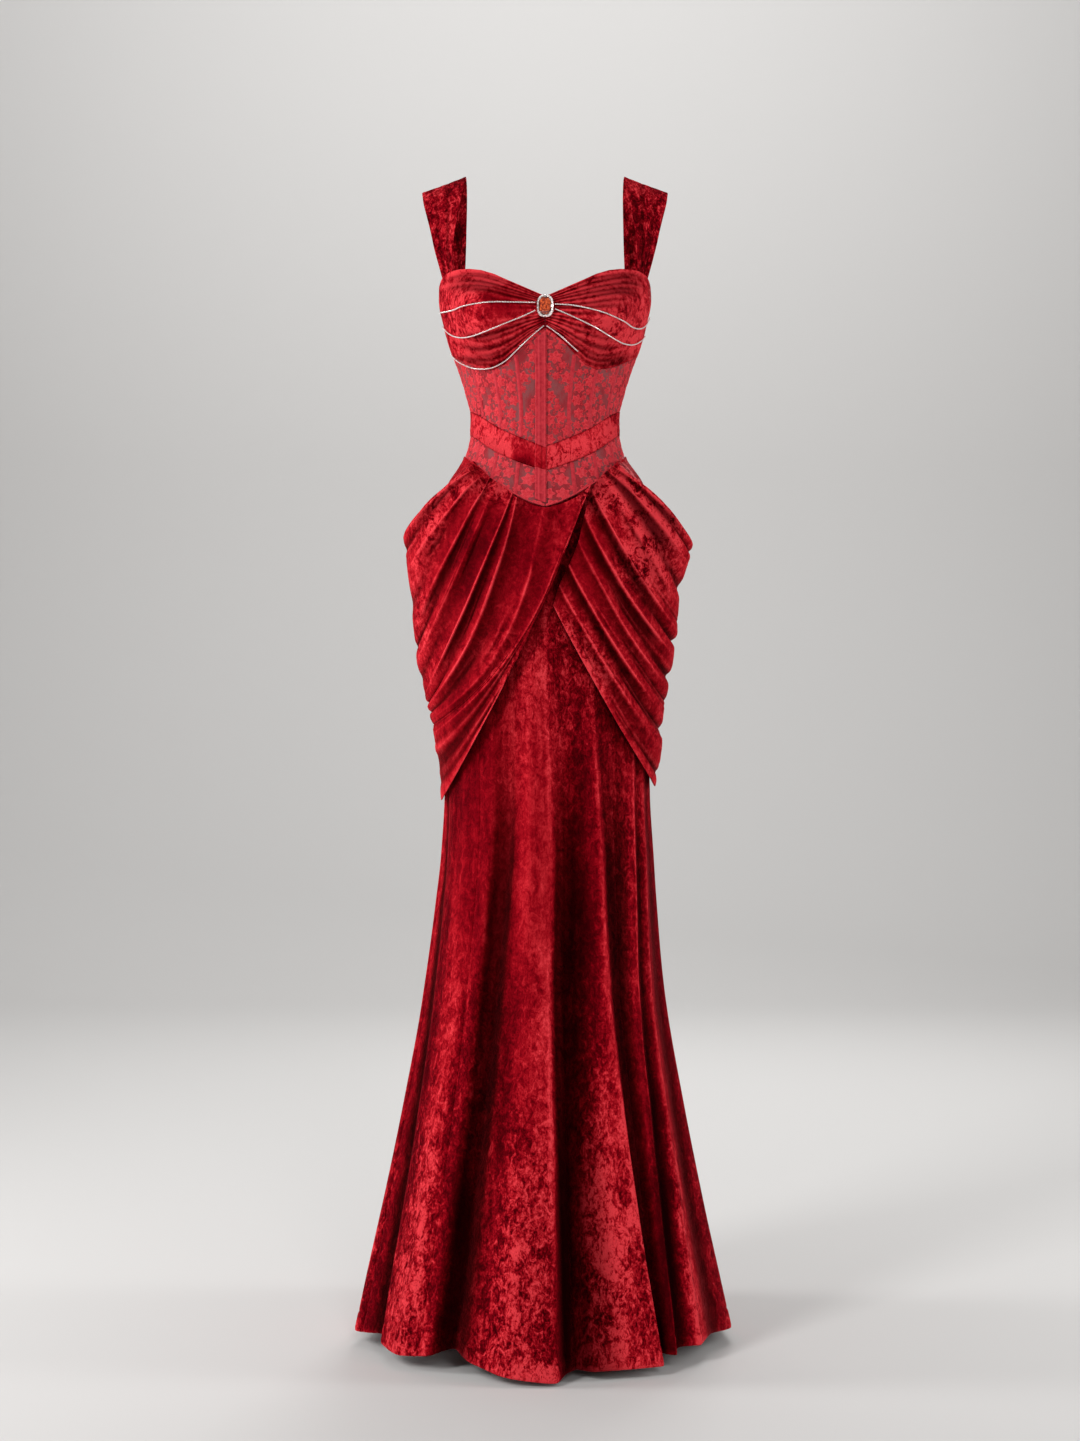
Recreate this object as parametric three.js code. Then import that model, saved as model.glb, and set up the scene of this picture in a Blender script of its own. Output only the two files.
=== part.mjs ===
// Floor-length evening dress: gathered velvet cups, a lace corset bodice with a velvet waistband,
// a pointed lace basque, two swagged hip drapes that cross at the front, and a fluted trumpet skirt.
// Millimetres, +Z up. The wearer faces -Y; +X is the wearer's left. The origin is midway between the
// shoulders, level with the tops of the straps, where the wearer holds the dress up.
// "turn" is the angle round the body in degrees: 0 at centre front, 90 at the wearer's left side,
// -90 at the right side, 180 at centre back. "down" is the distance below the shoulder line.
import * as THREE from "three";

// ---------- driving sizes ----------
const HEM = 1498; // shoulder to hem
const WALL = 2.0; // velvet and lined lace
const BAND_WALL = 2.3; // velvet waistband
const STRAP_WALL = 1.8;
const SEAM = 0.3; // open gap at every seam
const GRID = 9; // degrees between the facets of the bodice
const PRINCESS = 36; // turn of the princess seams
const SIDE = 90; // turn of the side seams
const CLEAVAGE = 0.4; // turn at which the cups' gathered ends meet
const BACK_ZIP = 2.2; // half turn taken by the centre back zip
const SKIRT_STEP = 4.5; // degrees between the facets of the skirt
const ZIP_FOOT = 500; // down
const CHAIN_R = 1.0; // rhinestone chain, radius
const CHAIN_LIFT = 1.9; // from the cup to the chain's centre, past its radius
const BROOCH = { x: 0, down: 183.5, halfWidth: 10.8, halfHeight: 14.4, thick: 4.2 };
const STONE = { halfWidth: 7.2, halfHeight: 10.3, thick: 4.6 };
const BUST = { lift: 30, turn: 34, spread: 20, down: 188, height: 38, splay: 0.42 };

// The body-fitting form that every panel is cut to: half width, depth in front and behind, and how far
// the skirt hangs to the wearer's left.
const FORM = [
  { down: 60, half: 118, front: 70, back: 78, sway: 0 },
  { down: 100, half: 129, front: 80, back: 82, sway: 0 },
  { down: 130, half: 134, front: 86, back: 84, sway: 0 },
  { down: 160, half: 135.5, front: 89, back: 84, sway: 0 },
  { down: 190, half: 130, front: 89, back: 82, sway: 0 },
  { down: 222, half: 121.5, front: 86, back: 79, sway: 0 },
  { down: 252, half: 110.5, front: 82, back: 76, sway: 0 },
  { down: 283, half: 101, front: 77, back: 73, sway: 0 },
  { down: 315, half: 94, front: 72.5, back: 70, sway: 0 },
  { down: 335, half: 95, front: 72, back: 71, sway: 0 },
  { down: 365, half: 102, front: 76, back: 76, sway: 0 },
  { down: 400, half: 113, front: 82, back: 86, sway: 0 },
  { down: 436, half: 122, front: 88, back: 97, sway: 0 },
  { down: 480, half: 129, front: 94, back: 107, sway: 0 },
  { down: 540, half: 132, front: 99, back: 114, sway: 0 },
  { down: 620, half: 132, front: 102, back: 115, sway: 0 },
  { down: 700, half: 131, front: 104, back: 112, sway: 0.5 },
  { down: 800, half: 130, front: 106, back: 110, sway: 3.2 },
  { down: 880, half: 134, front: 110, back: 112, sway: 3.8 },
  { down: 940, half: 139, front: 115, back: 117, sway: 2.5 },
  { down: 1070, half: 153, front: 130, back: 134, sway: 0 },
  { down: 1200, half: 175, front: 154, back: 160, sway: 0 },
  { down: 1330, half: 201, front: 185, back: 192, sway: 0 },
  { down: 1440, half: 226, front: 216, back: 224, sway: 0 },
  { down: 1520, half: 244, front: 240, back: 246, sway: 0 },
];

// Cup edges by turn: the sweetheart neckline and the underbust line.
const CUP = [
  { turn: 0, top: 171, foot: 209 },
  { turn: 9, top: 161.5, foot: 223 },
  { turn: 18, top: 151.5, foot: 240 },
  { turn: 27, top: 141.5, foot: 253 },
  { turn: 36, top: 134.5, foot: 258 },
  { turn: 45, top: 130.8, foot: 256.5 },
  { turn: 54, top: 129.2, foot: 252 },
  { turn: 63, top: 129.2, foot: 246 },
  { turn: 72, top: 131.5, foot: 240 },
  { turn: 81, top: 136.5, foot: 235 },
  { turn: 90, top: 143, foot: 231 },
];
// Gathers of a cup: share of its height from the foot, depth, how far they run from the centre.
const GATHERS = [
  { at: 0.1, depth: 1.5, wide: 0.05, run: 0.8 },
  { at: 0.24, depth: 1.8, wide: 0.06, run: 0.62 },
  { at: 0.4, depth: 1.4, wide: 0.06, run: 0.45 },
  { at: 0.62, depth: 1.3, wide: 0.06, run: 0.5 },
  { at: 0.78, depth: 1.7, wide: 0.06, run: 0.72 },
  { at: 0.92, depth: 1.2, wide: 0.05, run: 0.85 },
];
// Horizontal seams by turn: back neckline, waistband top, waistband foot, basque foot.
const SEAMS = [
  { turn: 0, neck: 143, bandTop: 358, bandFoot: 389, basque: 436 },
  { turn: 9, neck: 143, bandTop: 352.5, bandFoot: 383.5, basque: 430 },
  { turn: 18, neck: 143, bandTop: 346.5, bandFoot: 377.5, basque: 421 },
  { turn: 27, neck: 143, bandTop: 340, bandFoot: 371, basque: 411 },
  { turn: 36, neck: 143, bandTop: 333.5, bandFoot: 364.5, basque: 401.5 },
  { turn: 54, neck: 143, bandTop: 319, bandFoot: 350, basque: 384 },
  { turn: 72, neck: 143, bandTop: 308.5, bandFoot: 339.5, basque: 370 },
  { turn: 90, neck: 143, bandTop: 304, bandFoot: 335, basque: 363 },
  { turn: 117, neck: 147, bandTop: 306, bandFoot: 337, basque: 367 },
  { turn: 144, neck: 151, bandTop: 312, bandFoot: 343, basque: 380 },
  { turn: 180, neck: 154, bandTop: 322, bandFoot: 353, basque: 402 },
];
// Flutes of the skirt: "turn" is where the fold leaves the hip, "hemTurn" and "out" where it stands at the hem.
const FLUTES = [
  { turn: -180, hemTurn: -180, out: 8 },
  { turn: -167, hemTurn: -166, out: -16 },
  { turn: -156, hemTurn: -153, out: 7 },
  { turn: -146, hemTurn: -140, out: -18 },
  { turn: -137, hemTurn: -127, out: 8 },
  { turn: -128, hemTurn: -115, out: -14 },
  { turn: -118, hemTurn: -101, out: 3 },
  { turn: -110, hemTurn: -91, out: -5 },
  { turn: -102, hemTurn: -79, out: 11 },
  { turn: -90, hemTurn: -66, out: -13 },
  { turn: -72, hemTurn: -58, out: 2 },
  { turn: -50, hemTurn: -48, out: 8 },
  { turn: -36, hemTurn: -39, out: -3 },
  { turn: -20, hemTurn: -31.5, out: -22 },
  { turn: -14, hemTurn: -22, out: -4 },
  { turn: -8, hemTurn: -10, out: 9 },
  { turn: 0, hemTurn: 3, out: 7 },
  { turn: 5, hemTurn: 6.5, out: -14 },
  { turn: 10, hemTurn: 10, out: -25 },
  { turn: 17, hemTurn: 16, out: -8 },
  { turn: 26, hemTurn: 35.5, out: 9 },
  { turn: 33, hemTurn: 39, out: -14 },
  { turn: 60, hemTurn: 42.5, out: 2 },
  { turn: 66, hemTurn: 46.5, out: -10 },
  { turn: 72, hemTurn: 53, out: 6 },
  { turn: 84, hemTurn: 68, out: -10 },
  { turn: 95, hemTurn: 82, out: 5 },
  { turn: 104, hemTurn: 98, out: -4 },
  { turn: 113, hemTurn: 112, out: -12 },
  { turn: 125, hemTurn: 124, out: 7 },
  { turn: 138, hemTurn: 137, out: -18 },
  { turn: 151, hemTurn: 151, out: 8 },
  { turn: 165, hemTurn: 165, out: -15 },
  { turn: 180, hemTurn: 180, out: 8 },
];
// How far the hem rises above its lowest level.
const HEMLINE = [
  { turn: -180, rise: 4 },
  { turn: -146, rise: 10 },
  { turn: -118, rise: 8 },
  { turn: -102, rise: 12 },
  { turn: -90, rise: 18 },
  { turn: -66, rise: 13 },
  { turn: -50, rise: 12 },
  { turn: -34, rise: 16 },
  { turn: -20, rise: 24 },
  { turn: -14, rise: 14 },
  { turn: -8, rise: 5 },
  { turn: 0, rise: 0 },
  { turn: 6, rise: 6 },
  { turn: 26, rise: 8 },
  { turn: 34, rise: 16 },
  { turn: 60, rise: 15 },
  { turn: 68, rise: 19 },
  { turn: 84, rise: 17 },
  { turn: 96, rise: 12 },
  { turn: 113, rise: 8 },
  { turn: 140, rise: 10 },
  { turn: 180, rise: 4 },
];
const FLUTE_START = 600; // down, where the flutes begin under the drapes
const FLUTE_GROWTH = 1.15;
const BACK_LIFT = 10.5; // stand-off of the drapes behind
const SKIRT_SEAMS = [-180, -99, -40.5, 40.5, 99, 180];

// Folds of each hip drape, from the seam at the hip down to the free lower edge. x and down give the
// fold's start at the front; half and side its width and level at the side seam; bow how fast it falls;
// backX and backDown its end behind; lift0 and lift its stand-off at the start and further on; dip the
// hollow that follows it.
const DRAPE_RIGHT = [
  { x: 90, down: 376, half: 107.5, side: 363, bow: 0, backX: 92, backDown: 366, lift0: 3.2, lift: 5, dip: 0 },
  { x: 88, down: 379, half: 143, side: 430, bow: -0.25, backX: 88, backDown: 369, lift0: 3.2, lift: 12, dip: 1 },
  { x: 84, down: 383, half: 182, side: 468, bow: -0.35, backX: 83, backDown: 373, lift0: 3.2, lift: 16, dip: 5 },
  { x: 76, down: 391, half: 177, side: 512, bow: -0.2, backX: 74, backDown: 379, lift0: 3.2, lift: 16, dip: 3 },
  { x: 70, down: 397, half: 169, side: 585, bow: -0.05, backX: 62, backDown: 386, lift0: 3.2, lift: 16, dip: 4 },
  { x: 61, down: 404, half: 164.5, side: 630, bow: 0.1, backX: 50, backDown: 392, lift0: 3.2, lift: 17, dip: 5 },
  { x: 42, down: 418, half: 154, side: 672, bow: 0.2, backX: 38, backDown: 397, lift0: 3.2, lift: 17.5, dip: 5 },
  { x: 36, down: 424, half: 151, side: 687, bow: 1.1, backX: 26, backDown: 402, lift0: 3.2, lift: 18, dip: 5 },
  { x: 0, down: 437, half: 147, side: 703, bow: 2.2, backX: 14, backDown: 408, lift0: 3.4, lift: 18, dip: 4 },
  { x: -44, down: 421, half: 143.5, side: 722, bow: 1.3, backX: 6, backDown: 424, lift0: 7, lift: 18, dip: 2 },
  { x: -58, down: 407, half: 137, side: 808, bow: 0.32, backX: 5, backDown: 452, lift0: 8, lift: 18, dip: 0 },
];
const DRAPE_LEFT = [
  { x: 92, down: 375, half: 107.5, side: 363, bow: 0, backX: 92, backDown: 366, lift0: 3.2, lift: 5, dip: 0 },
  { x: 90, down: 378, half: 143, side: 430, bow: -0.25, backX: 88, backDown: 369, lift0: 3.2, lift: 9.5, dip: 1 },
  { x: 86, down: 382, half: 190, side: 476, bow: -0.3, backX: 83, backDown: 373, lift0: 3.2, lift: 9.5, dip: 7 },
  { x: 80, down: 388, half: 184, side: 503, bow: -0.2, backX: 74, backDown: 379, lift0: 3.2, lift: 9.5, dip: 6 },
  { x: 72, down: 395, half: 172, side: 556, bow: 0, backX: 62, backDown: 386, lift0: 3.2, lift: 9.5, dip: 3 },
  { x: 59, down: 414, half: 170, side: 590, bow: 0.3, backX: 50, backDown: 392, lift0: 3.2, lift: 9.5, dip: 7 },
  { x: 50, down: 446, half: 166, side: 622, bow: 0.5, backX: 38, backDown: 397, lift0: 3.2, lift: 9.5, dip: 7 },
  { x: 42, down: 480, half: 158, side: 664, bow: 0.4, backX: 26, backDown: 402, lift0: 3.2, lift: 9.5, dip: 6 },
  { x: 30, down: 510, half: 152, side: 698, bow: 0.3, backX: 14, backDown: 408, lift0: 3.2, lift: 9.5, dip: 6 },
  { x: 18, down: 536, half: 148.5, side: 742, bow: 0.2, backX: 6, backDown: 424, lift0: 3.2, lift: 9.5, dip: 5 },
  { x: 10, down: 560, half: 139, side: 790, bow: 0.1, backX: 5, backDown: 450, lift0: 3.2, lift: 9.5, dip: 0 },
];

// A shoulder strap, from the cup over the shoulder to the back: its inner and outer edge.
const STRAP = [
  { share: 0, inX: 0, inY: 0, inDown: 0, outX: 0, outY: 0, outDown: 0 },
  { share: 0.14, inX: 117.5, inY: -41, inDown: 96, outX: 141, outY: -25, outDown: 100 },
  { share: 0.28, inX: 112, inY: -33, inDown: 56, outX: 149, outY: -20, outDown: 66 },
  { share: 0.41, inX: 105.5, inY: -17, inDown: 16, outX: 157, outY: -10, outDown: 34 },
  { share: 0.5, inX: 102.5, inY: 0, inDown: 0, outX: 159, outY: 4, outDown: 20 },
  { share: 0.6, inX: 102, inY: 20, inDown: 12, outX: 156, outY: 18, outDown: 32 },
  { share: 0.73, inX: 103, inY: 41, inDown: 48, outX: 147, outY: 33, outDown: 64 },
  { share: 0.87, inX: 104.5, inY: 52, inDown: 94, outX: 135, outY: 40, outDown: 102 },
  { share: 1, inX: 0, inY: 0, inDown: 0, outX: 0, outY: 0, outDown: 0 },
];
const STRAP_FRONT = { inTurn: 61.5, outTurn: 78 };
const STRAP_BACK = { inTurn: 128, outTurn: 111 };

// Rhinestone chains over the cups: turn and down of each point, from the centre to the side.
const CHAINS = {
  chain_upper_right: [[5.5, 179], [15, 180], [28, 181.5], [42, 182.5], [56, 181.5], [70, 179], [84, 176]],
  chain_middle_right: [[5.5, 189], [13, 197], [23, 206], [34, 213], [46, 216], [58, 214], [70, 207], [84, 194]],
  chain_upper_left: [[5.5, 181], [15, 184], [28, 192], [42, 199], [55, 202.5], [67, 201], [77, 194], [85, 182]],
  chain_middle_left: [[5.5, 187], [15, 197], [27, 209], [39, 218.5], [51, 223], [63, 222], [74, 215], [84, 206]],
  chain_lower_right: [[1.0, 207], [8, 219.5], [16, 234], [26, 249], [37, 256], [48, 255.5], [58, 251], [70, 242], [82, 230]],
  chain_lower_left: [[1.0, 207], [7, 216], [14, 228], [20, 237.5]],
};

// ---------- materials ----------
const velvet = (name, r, g, b) =>
  new THREE.MeshStandardMaterial({ name, color: new THREE.Color(r, g, b), roughness: 0.62, metalness: 0 });
const VELVET = velvet("velvet", 0.42, 0.012, 0.03);
const LACE = new THREE.MeshStandardMaterial({ name: "lace", color: new THREE.Color(0.5, 0.03, 0.06), roughness: 0.8, metalness: 0 });
const SILVER = new THREE.MeshStandardMaterial({ name: "silver", color: new THREE.Color(0.82, 0.78, 0.76), roughness: 0.22, metalness: 1 });
const CRYSTAL = new THREE.MeshStandardMaterial({ name: "crystal", color: new THREE.Color(0.62, 0.05, 0.01), roughness: 0.08, metalness: 0 });
const ZIP = velvet("zip_tape", 0.3, 0.01, 0.02);

// ---------- working functions ----------
const rad = (d) => (d * Math.PI) / 180;
const mix = (a, b, t) => a + (b - a) * t;
const clamp = (x, a, b) => Math.min(b, Math.max(a, x));
const ease = (t) => t * t * (3 - 2 * t);

// Smooth curve through one column of a table, without overshoot.
function curve(rows, key, column) {
  const x = rows.map((r) => r[key]), y = rows.map((r) => r[column]);
  const n = x.length, d = [], m = new Array(n);
  for (let i = 0; i < n - 1; i++) d.push((y[i + 1] - y[i]) / (x[i + 1] - x[i]));
  m[0] = d[0];
  m[n - 1] = d[n - 2];
  for (let i = 1; i < n - 1; i++) {
    if (d[i - 1] * d[i] <= 0) m[i] = 0;
    else {
      const a = x[i + 1] - x[i], b = x[i] - x[i - 1];
      m[i] = (3 * (a + b)) / ((2 * a + b) / d[i - 1] + (a + 2 * b) / d[i]);
    }
  }
  return (at) => {
    const q = clamp(at, x[0], x[n - 1]);
    let i = 0;
    while (i < n - 2 && q > x[i + 1]) i++;
    const h = x[i + 1] - x[i], t = (q - x[i]) / h, t2 = t * t, t3 = t2 * t;
    return (2 * t3 - 3 * t2 + 1) * y[i] + (t3 - 2 * t2 + t) * h * m[i] + (3 * t2 - 2 * t3) * y[i + 1] + (t3 - t2) * h * m[i + 1];
  };
}
const columns = (rows, key, names) => Object.fromEntries(names.map((n) => [n, curve(rows, key, n)]));

const form = columns(FORM, "down", ["half", "front", "back", "sway"]);
const seams = columns(SEAMS, "turn", ["neck", "bandTop", "bandFoot", "basque"]);
const cup = columns(CUP, "turn", ["top", "foot"]);
const hemline = curve(HEMLINE, "turn", "rise");
const flutes = columns(FLUTES, "turn", ["hemTurn", "out"]);
// Straight between the grid's lines, so that neighbouring panels share one edge.
const gridded = (f) => (turn) => {
  const k = Math.floor(Math.abs(turn) / GRID), t = Math.abs(turn) / GRID - k;
  return mix(f(k * GRID), f((k + 1) * GRID), t);
};
const bandTop = gridded(seams.bandTop), bandFoot = gridded(seams.bandFoot), basqueFoot = gridded(seams.basque);
const cupTop = gridded(cup.top), cupFoot = gridded(cup.foot), backNeck = gridded(seams.neck);

// A point of the fitted form.
function onForm(turn, down, out = 0) {
  const a = rad(turn), s = Math.sin(a), c = Math.cos(a);
  const half = form.half(down) + out, deep = (c >= 0 ? form.front(down) : form.back(down)) + out;
  return new THREE.Vector3(half * s + form.sway(down), -deep * c, -down);
}
// The same with the fullness of the cups.
function onBust(turn, down) {
  const p = onForm(turn, down);
  const q = (Math.abs(turn) - BUST.turn) / BUST.spread, h = (down - BUST.down) / BUST.height;
  const lift = BUST.lift * Math.exp(-q * q - h * h);
  const dir = new THREE.Vector3(BUST.splay * Math.sign(turn) * Math.min(1, Math.abs(turn) / 20), -1, 0).normalize();
  return p.addScaledVector(dir, lift);
}
const seamTurn = (down) => THREE.MathUtils.radToDeg(SEAM / 2 / Math.min(form.half(down), form.front(down)));

// The side of a sheet that faces out, as a unit vector.
function facing(at, u, v) {
  const e = 2e-3;
  const u0 = Math.max(0, u - e), u1 = Math.min(1, u + e), v0 = Math.max(0, v - e), v1 = Math.min(1, v + e);
  return at(u1, v).sub(at(u0, v)).cross(at(u, v1).sub(at(u, v0))).normalize();
}
// A sheet of cloth of even thickness: at(u, v) is its inner side, and it thickens outwards.
// u runs with the turn and v upwards, or side is -1.
function sheet(name, material, nu, nv, wall, at, side = 1) {
  const g = new THREE.BoxGeometry(1, 1, 1, nu, nv, 1), pos = g.attributes.position;
  for (let i = 0; i < pos.count; i++) {
    const u = clamp(pos.getX(i) + 0.5, 0, 1), v = clamp(pos.getY(i) + 0.5, 0, 1), w = pos.getZ(i) + 0.5;
    const p = at(u, v).addScaledVector(facing(at, u, v), side * wall * w);
    pos.setXYZ(i, p.x, p.y, p.z);
  }
  if (side < 0) {
    const idx = g.index;
    for (let i = 0; i < idx.count; i += 3) {
      const a = idx.getX(i + 1);
      idx.setX(i + 1, idx.getX(i + 2));
      idx.setX(i + 2, a);
    }
  }
  g.computeVertexNormals();
  const m = new THREE.Mesh(g, material);
  m.name = name;
  return m;
}
// A panel between two turns and two edges, on a surface given by turn and down.
function panel(name, material, turn0, turn1, foot, top, nu, nv, wall, surface) {
  return sheet(name, material, nu, nv, wall, (u, v) => {
    const flat = mix(turn0, turn1, u);
    const down = mix(foot(flat) - SEAM / 2, top(flat) + SEAM / 2, v);
    const g = seamTurn(down);
    return surface(mix(turn0 + g, turn1 - g, u), down);
  });
}

const dress = new THREE.Group();
const add = (...meshes) => dress.add(...meshes);

// ---------- bodice, waistband and basque ----------
for (const [hand, s] of [["left", 1], ["right", -1]]) {
  const span = (a, b) => (s > 0 ? [a, b] : [-b, -a]);
  const steps = (a, b) => Math.round((b - a) / GRID);
  const put = (name, material, a, b, foot, top, nv, wall, surface = onForm) =>
    add(panel(name + "_" + hand, material, ...span(a, b), foot, top, steps(a, b), nv, wall, surface));
  put("bodice_front", LACE, 0, PRINCESS, bandTop, cupFoot, 4, WALL, onBust);
  put("bodice_side", LACE, PRINCESS, SIDE, bandTop, cupFoot, 4, WALL, onBust);
  put("waistband_front", VELVET, 0, SIDE, bandFoot, bandTop, 1, BAND_WALL);
  put("basque_front", LACE, 0, SIDE, basqueFoot, bandFoot, 2, WALL);
  // The back stops short of centre back, where the zip runs.
  const zipEdge = 180 - BACK_ZIP;
  const back = (name, material, foot, top, nv, wall, surface = onForm) =>
    add(panel(name + "_" + hand, material, ...span(SIDE, zipEdge), foot, top, steps(SIDE, 180), nv, wall, surface));
  back("bodice_back", LACE, bandTop, backNeck, 5, WALL);
  back("waistband_back", VELVET, bandFoot, bandTop, 1, BAND_WALL);
  back("basque_back", LACE, basqueFoot, bandFoot, 2, WALL);

  // Gathered cup.
  add(panel("cup_" + hand, VELVET, ...span(CLEAVAGE, SIDE), cupFoot, cupTop, steps(0, SIDE), 9, WALL, (turn, down) => {
    const t = Math.abs(turn), v = (cupFoot(t) - down) / (cupFoot(t) - cupTop(t)), u = t / SIDE;
    let relief = 0;
    for (const f of GATHERS) {
      const q = (v - f.at) / f.wide;
      relief -= f.depth * Math.exp(-q * q) * ease(clamp(u / 0.12, 0, 1)) * ease(clamp((f.run - u) / 0.3, 0, 1));
    }
    const p = onBust(turn, down), out = new THREE.Vector3(p.x, p.y, 0).normalize();
    return p.addScaledVector(out, relief * 0.7);
  }));
}
// Centre front placket, on the panels.
add(sheet("front_placket", LACE, 2, 10, 1.0, (u, v) => {
  const edge = mix(-7.6, 0.9, u);
  const down = mix(basqueFoot(edge) - 6, cupFoot(edge) + 5, v);
  const turn = edge * (72 / form.front(down));
  const p = onBust(turn, down);
  p.y -= BAND_WALL + 1.0;
  return p;
}));
// Centre back zip, closed.
add(panel("back_zip", ZIP, 180 - BACK_ZIP, 180 + BACK_ZIP, () => ZIP_FOOT, () => backNeck(180), 1, 12, WALL * 0.8, onForm));

// ---------- skirt ----------
function onSkirt(turn, down) {
  const t = clamp((down - FLUTE_START) / (HEM - FLUTE_START), 0, 1), g = Math.pow(t, FLUTE_GROWTH);
  const wrapped = ((turn + 540) % 360) - 180;
  const at = turn + (flutes.hemTurn(wrapped) - wrapped) * t;
  return onForm(at, down, flutes.out(wrapped) * g);
}
const skirtNames = ["skirt_back_right", "skirt_side_right", "skirt_front", "skirt_side_left", "skirt_back_left"];
skirtNames.forEach((name, i) => {
  const zip = (turn) => (Math.abs(turn) === 180 ? Math.sign(turn) * (180 - 0.15) : turn);
  const [a, b] = [SKIRT_SEAMS[i], SKIRT_SEAMS[i + 1]];
  add(sheet(name, VELVET, Math.round((b - a) / SKIRT_STEP), 9, WALL, (u, v) => {
    const flat = mix(a, b, u);
    const top = basqueFoot(flat) + SEAM;
    const down = mix(HEM - hemline(flat), top, Math.pow(v, 0.92));
    const g = seamTurn(down);
    // Behind, the panels stand apart for the zip down to its foot.
    const open = down < ZIP_FOOT + 25 ? BACK_ZIP : 0;
    const edge = (turn, way) => (Math.abs(turn) === 180 ? Math.sign(turn) * (180 - open) + way * g : turn + way * g);
    return onSkirt(mix(edge(a, 1), edge(b, -1), u), down);
  }));
});

// ---------- hip drapes ----------
function drape(name, rows, s, per, nu) {
  const keyed = rows.map((r, i) => ({ ...r, row: i }));
  const col = columns(keyed, "row", ["x", "down", "half", "side", "bow", "backX", "backDown", "lift0", "lift", "dip"]);
  const last = rows.length - 1;
  const fall = (t, bow) => (t * (1 + bow)) / (1 + bow * t);
  const at = (u, v) => {
    const row = v * last, k = Math.min(last - 1, Math.floor(row)), between = row - k;
    const half = col.half(row), side = col.side(row), front = u <= 0.5;
    // Angle from the start of the fold to the side, and from there to its end.
    const x0 = front ? col.x(row) : col.backX(row), d0 = front ? col.down(row) : col.backDown(row);
    const start = Math.asin(clamp(x0 / half, -1, 1)), a = front ? mix(start, Math.PI / 2, u * 2) : mix(Math.PI / 2, start, u * 2 - 1);
    const t = clamp((Math.sin(a) - Math.sin(start)) / (1 - Math.sin(start)), 0, 1);
    const down = mix(d0, side, fall(t, front ? col.bow(row) : Math.max(0, col.bow(row) * 0.5)));
    const stand = mix(col.lift0(row), front ? col.lift(row) : BACK_LIFT, ease(clamp(t / 0.22, 0, 1)));
    const dip = keyed[k].dip * Math.pow(Math.sin(Math.PI * between), 2) * mix(0.3, 1, Math.pow(t, 0.8));
    const deep = (front ? form.front(down) : form.back(down)) + stand - dip * 0.7;
    return new THREE.Vector3(s * (half - dip) * Math.sin(a) + form.sway(down), (front ? -1 : 1) * deep * Math.cos(a), -down);
  };
  // v runs downwards, so on the wearer's left the sheet is turned over.
  return sheet(name, VELVET, nu, per * last, WALL, at, s > 0 ? -1 : 1);
}
add(drape("drape_left", DRAPE_LEFT, 1, 3, 12), drape("drape_right", DRAPE_RIGHT, -1, 3, 12));

// ---------- straps ----------
for (const [hand, s] of [["left", 1], ["right", -1]]) {
  const rows = STRAP.map((r) => ({ ...r }));
  const end = (row, from, edge) => {
    for (const [k, turn] of [["in", from.inTurn], ["out", from.outTurn]]) {
      const down = edge(turn) - 1.6, p = onForm(turn, down);
      row[k + "X"] = p.x;
      row[k + "Y"] = p.y;
      row[k + "Down"] = down;
    }
  };
  end(rows[0], STRAP_FRONT, cupTop);
  end(rows[rows.length - 1], STRAP_BACK, backNeck);
  const c = columns(rows, "share", ["inX", "inY", "inDown", "outX", "outY", "outDown"]);
  add(sheet("strap_" + hand, VELVET, 3, 16, STRAP_WALL, (u, v) => {
    const q = u;
    return new THREE.Vector3(s * mix(c.inX(v), c.outX(v), q), mix(c.inY(v), c.outY(v), q), -mix(c.inDown(v), c.outDown(v), q));
  }, s));
}

// ---------- brooch and chains ----------
const cupFace = (turn, down) => onBust(turn, down).y - WALL;
let seat = 0;
for (let turn = -8; turn <= 8; turn += 2)
  for (let down = BROOCH.down - BROOCH.halfHeight; down <= BROOCH.down + BROOCH.halfHeight; down += 4) seat = Math.min(seat, cupFace(turn, down));
const seatY = seat - 0.5;
function oval(name, material, profile, sx, sz, sides, y) {
  const g = new THREE.LatheGeometry(profile.map(([r, h]) => new THREE.Vector2(r, h)), sides, Math.PI / sides);
  g.rotateX(Math.PI / 2); // the lathe's axis, +Y, to +Z
  g.rotateX(Math.PI / 2); // and on to -Y, the way the brooch faces
  g.scale(sx, 1, sz);
  const m = new THREE.Mesh(g, material);
  m.name = name;
  m.position.set(BROOCH.x, y, -BROOCH.down);
  return m;
}
const T = BROOCH.thick, S = STONE.thick;
add(oval("brooch_setting", SILVER, [[0, 0], [0.94, 0], [1, 0.8], [0.97, T * 0.75], [0.84, T], [0.74, T * 0.8], [0.7, 1.4], [0, 1.4]], BROOCH.halfWidth, BROOCH.halfHeight, 24, seatY));
add(oval("brooch_stone", CRYSTAL, [[0, 0], [0.62, 0], [0.9, S * 0.28], [0.98, S * 0.5], [0.94, S * 0.62], [0.7, S * 0.94], [0.52, S], [0, S]], STONE.halfWidth, STONE.halfHeight, 12, seatY - 1.4 - 0.35));

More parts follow.
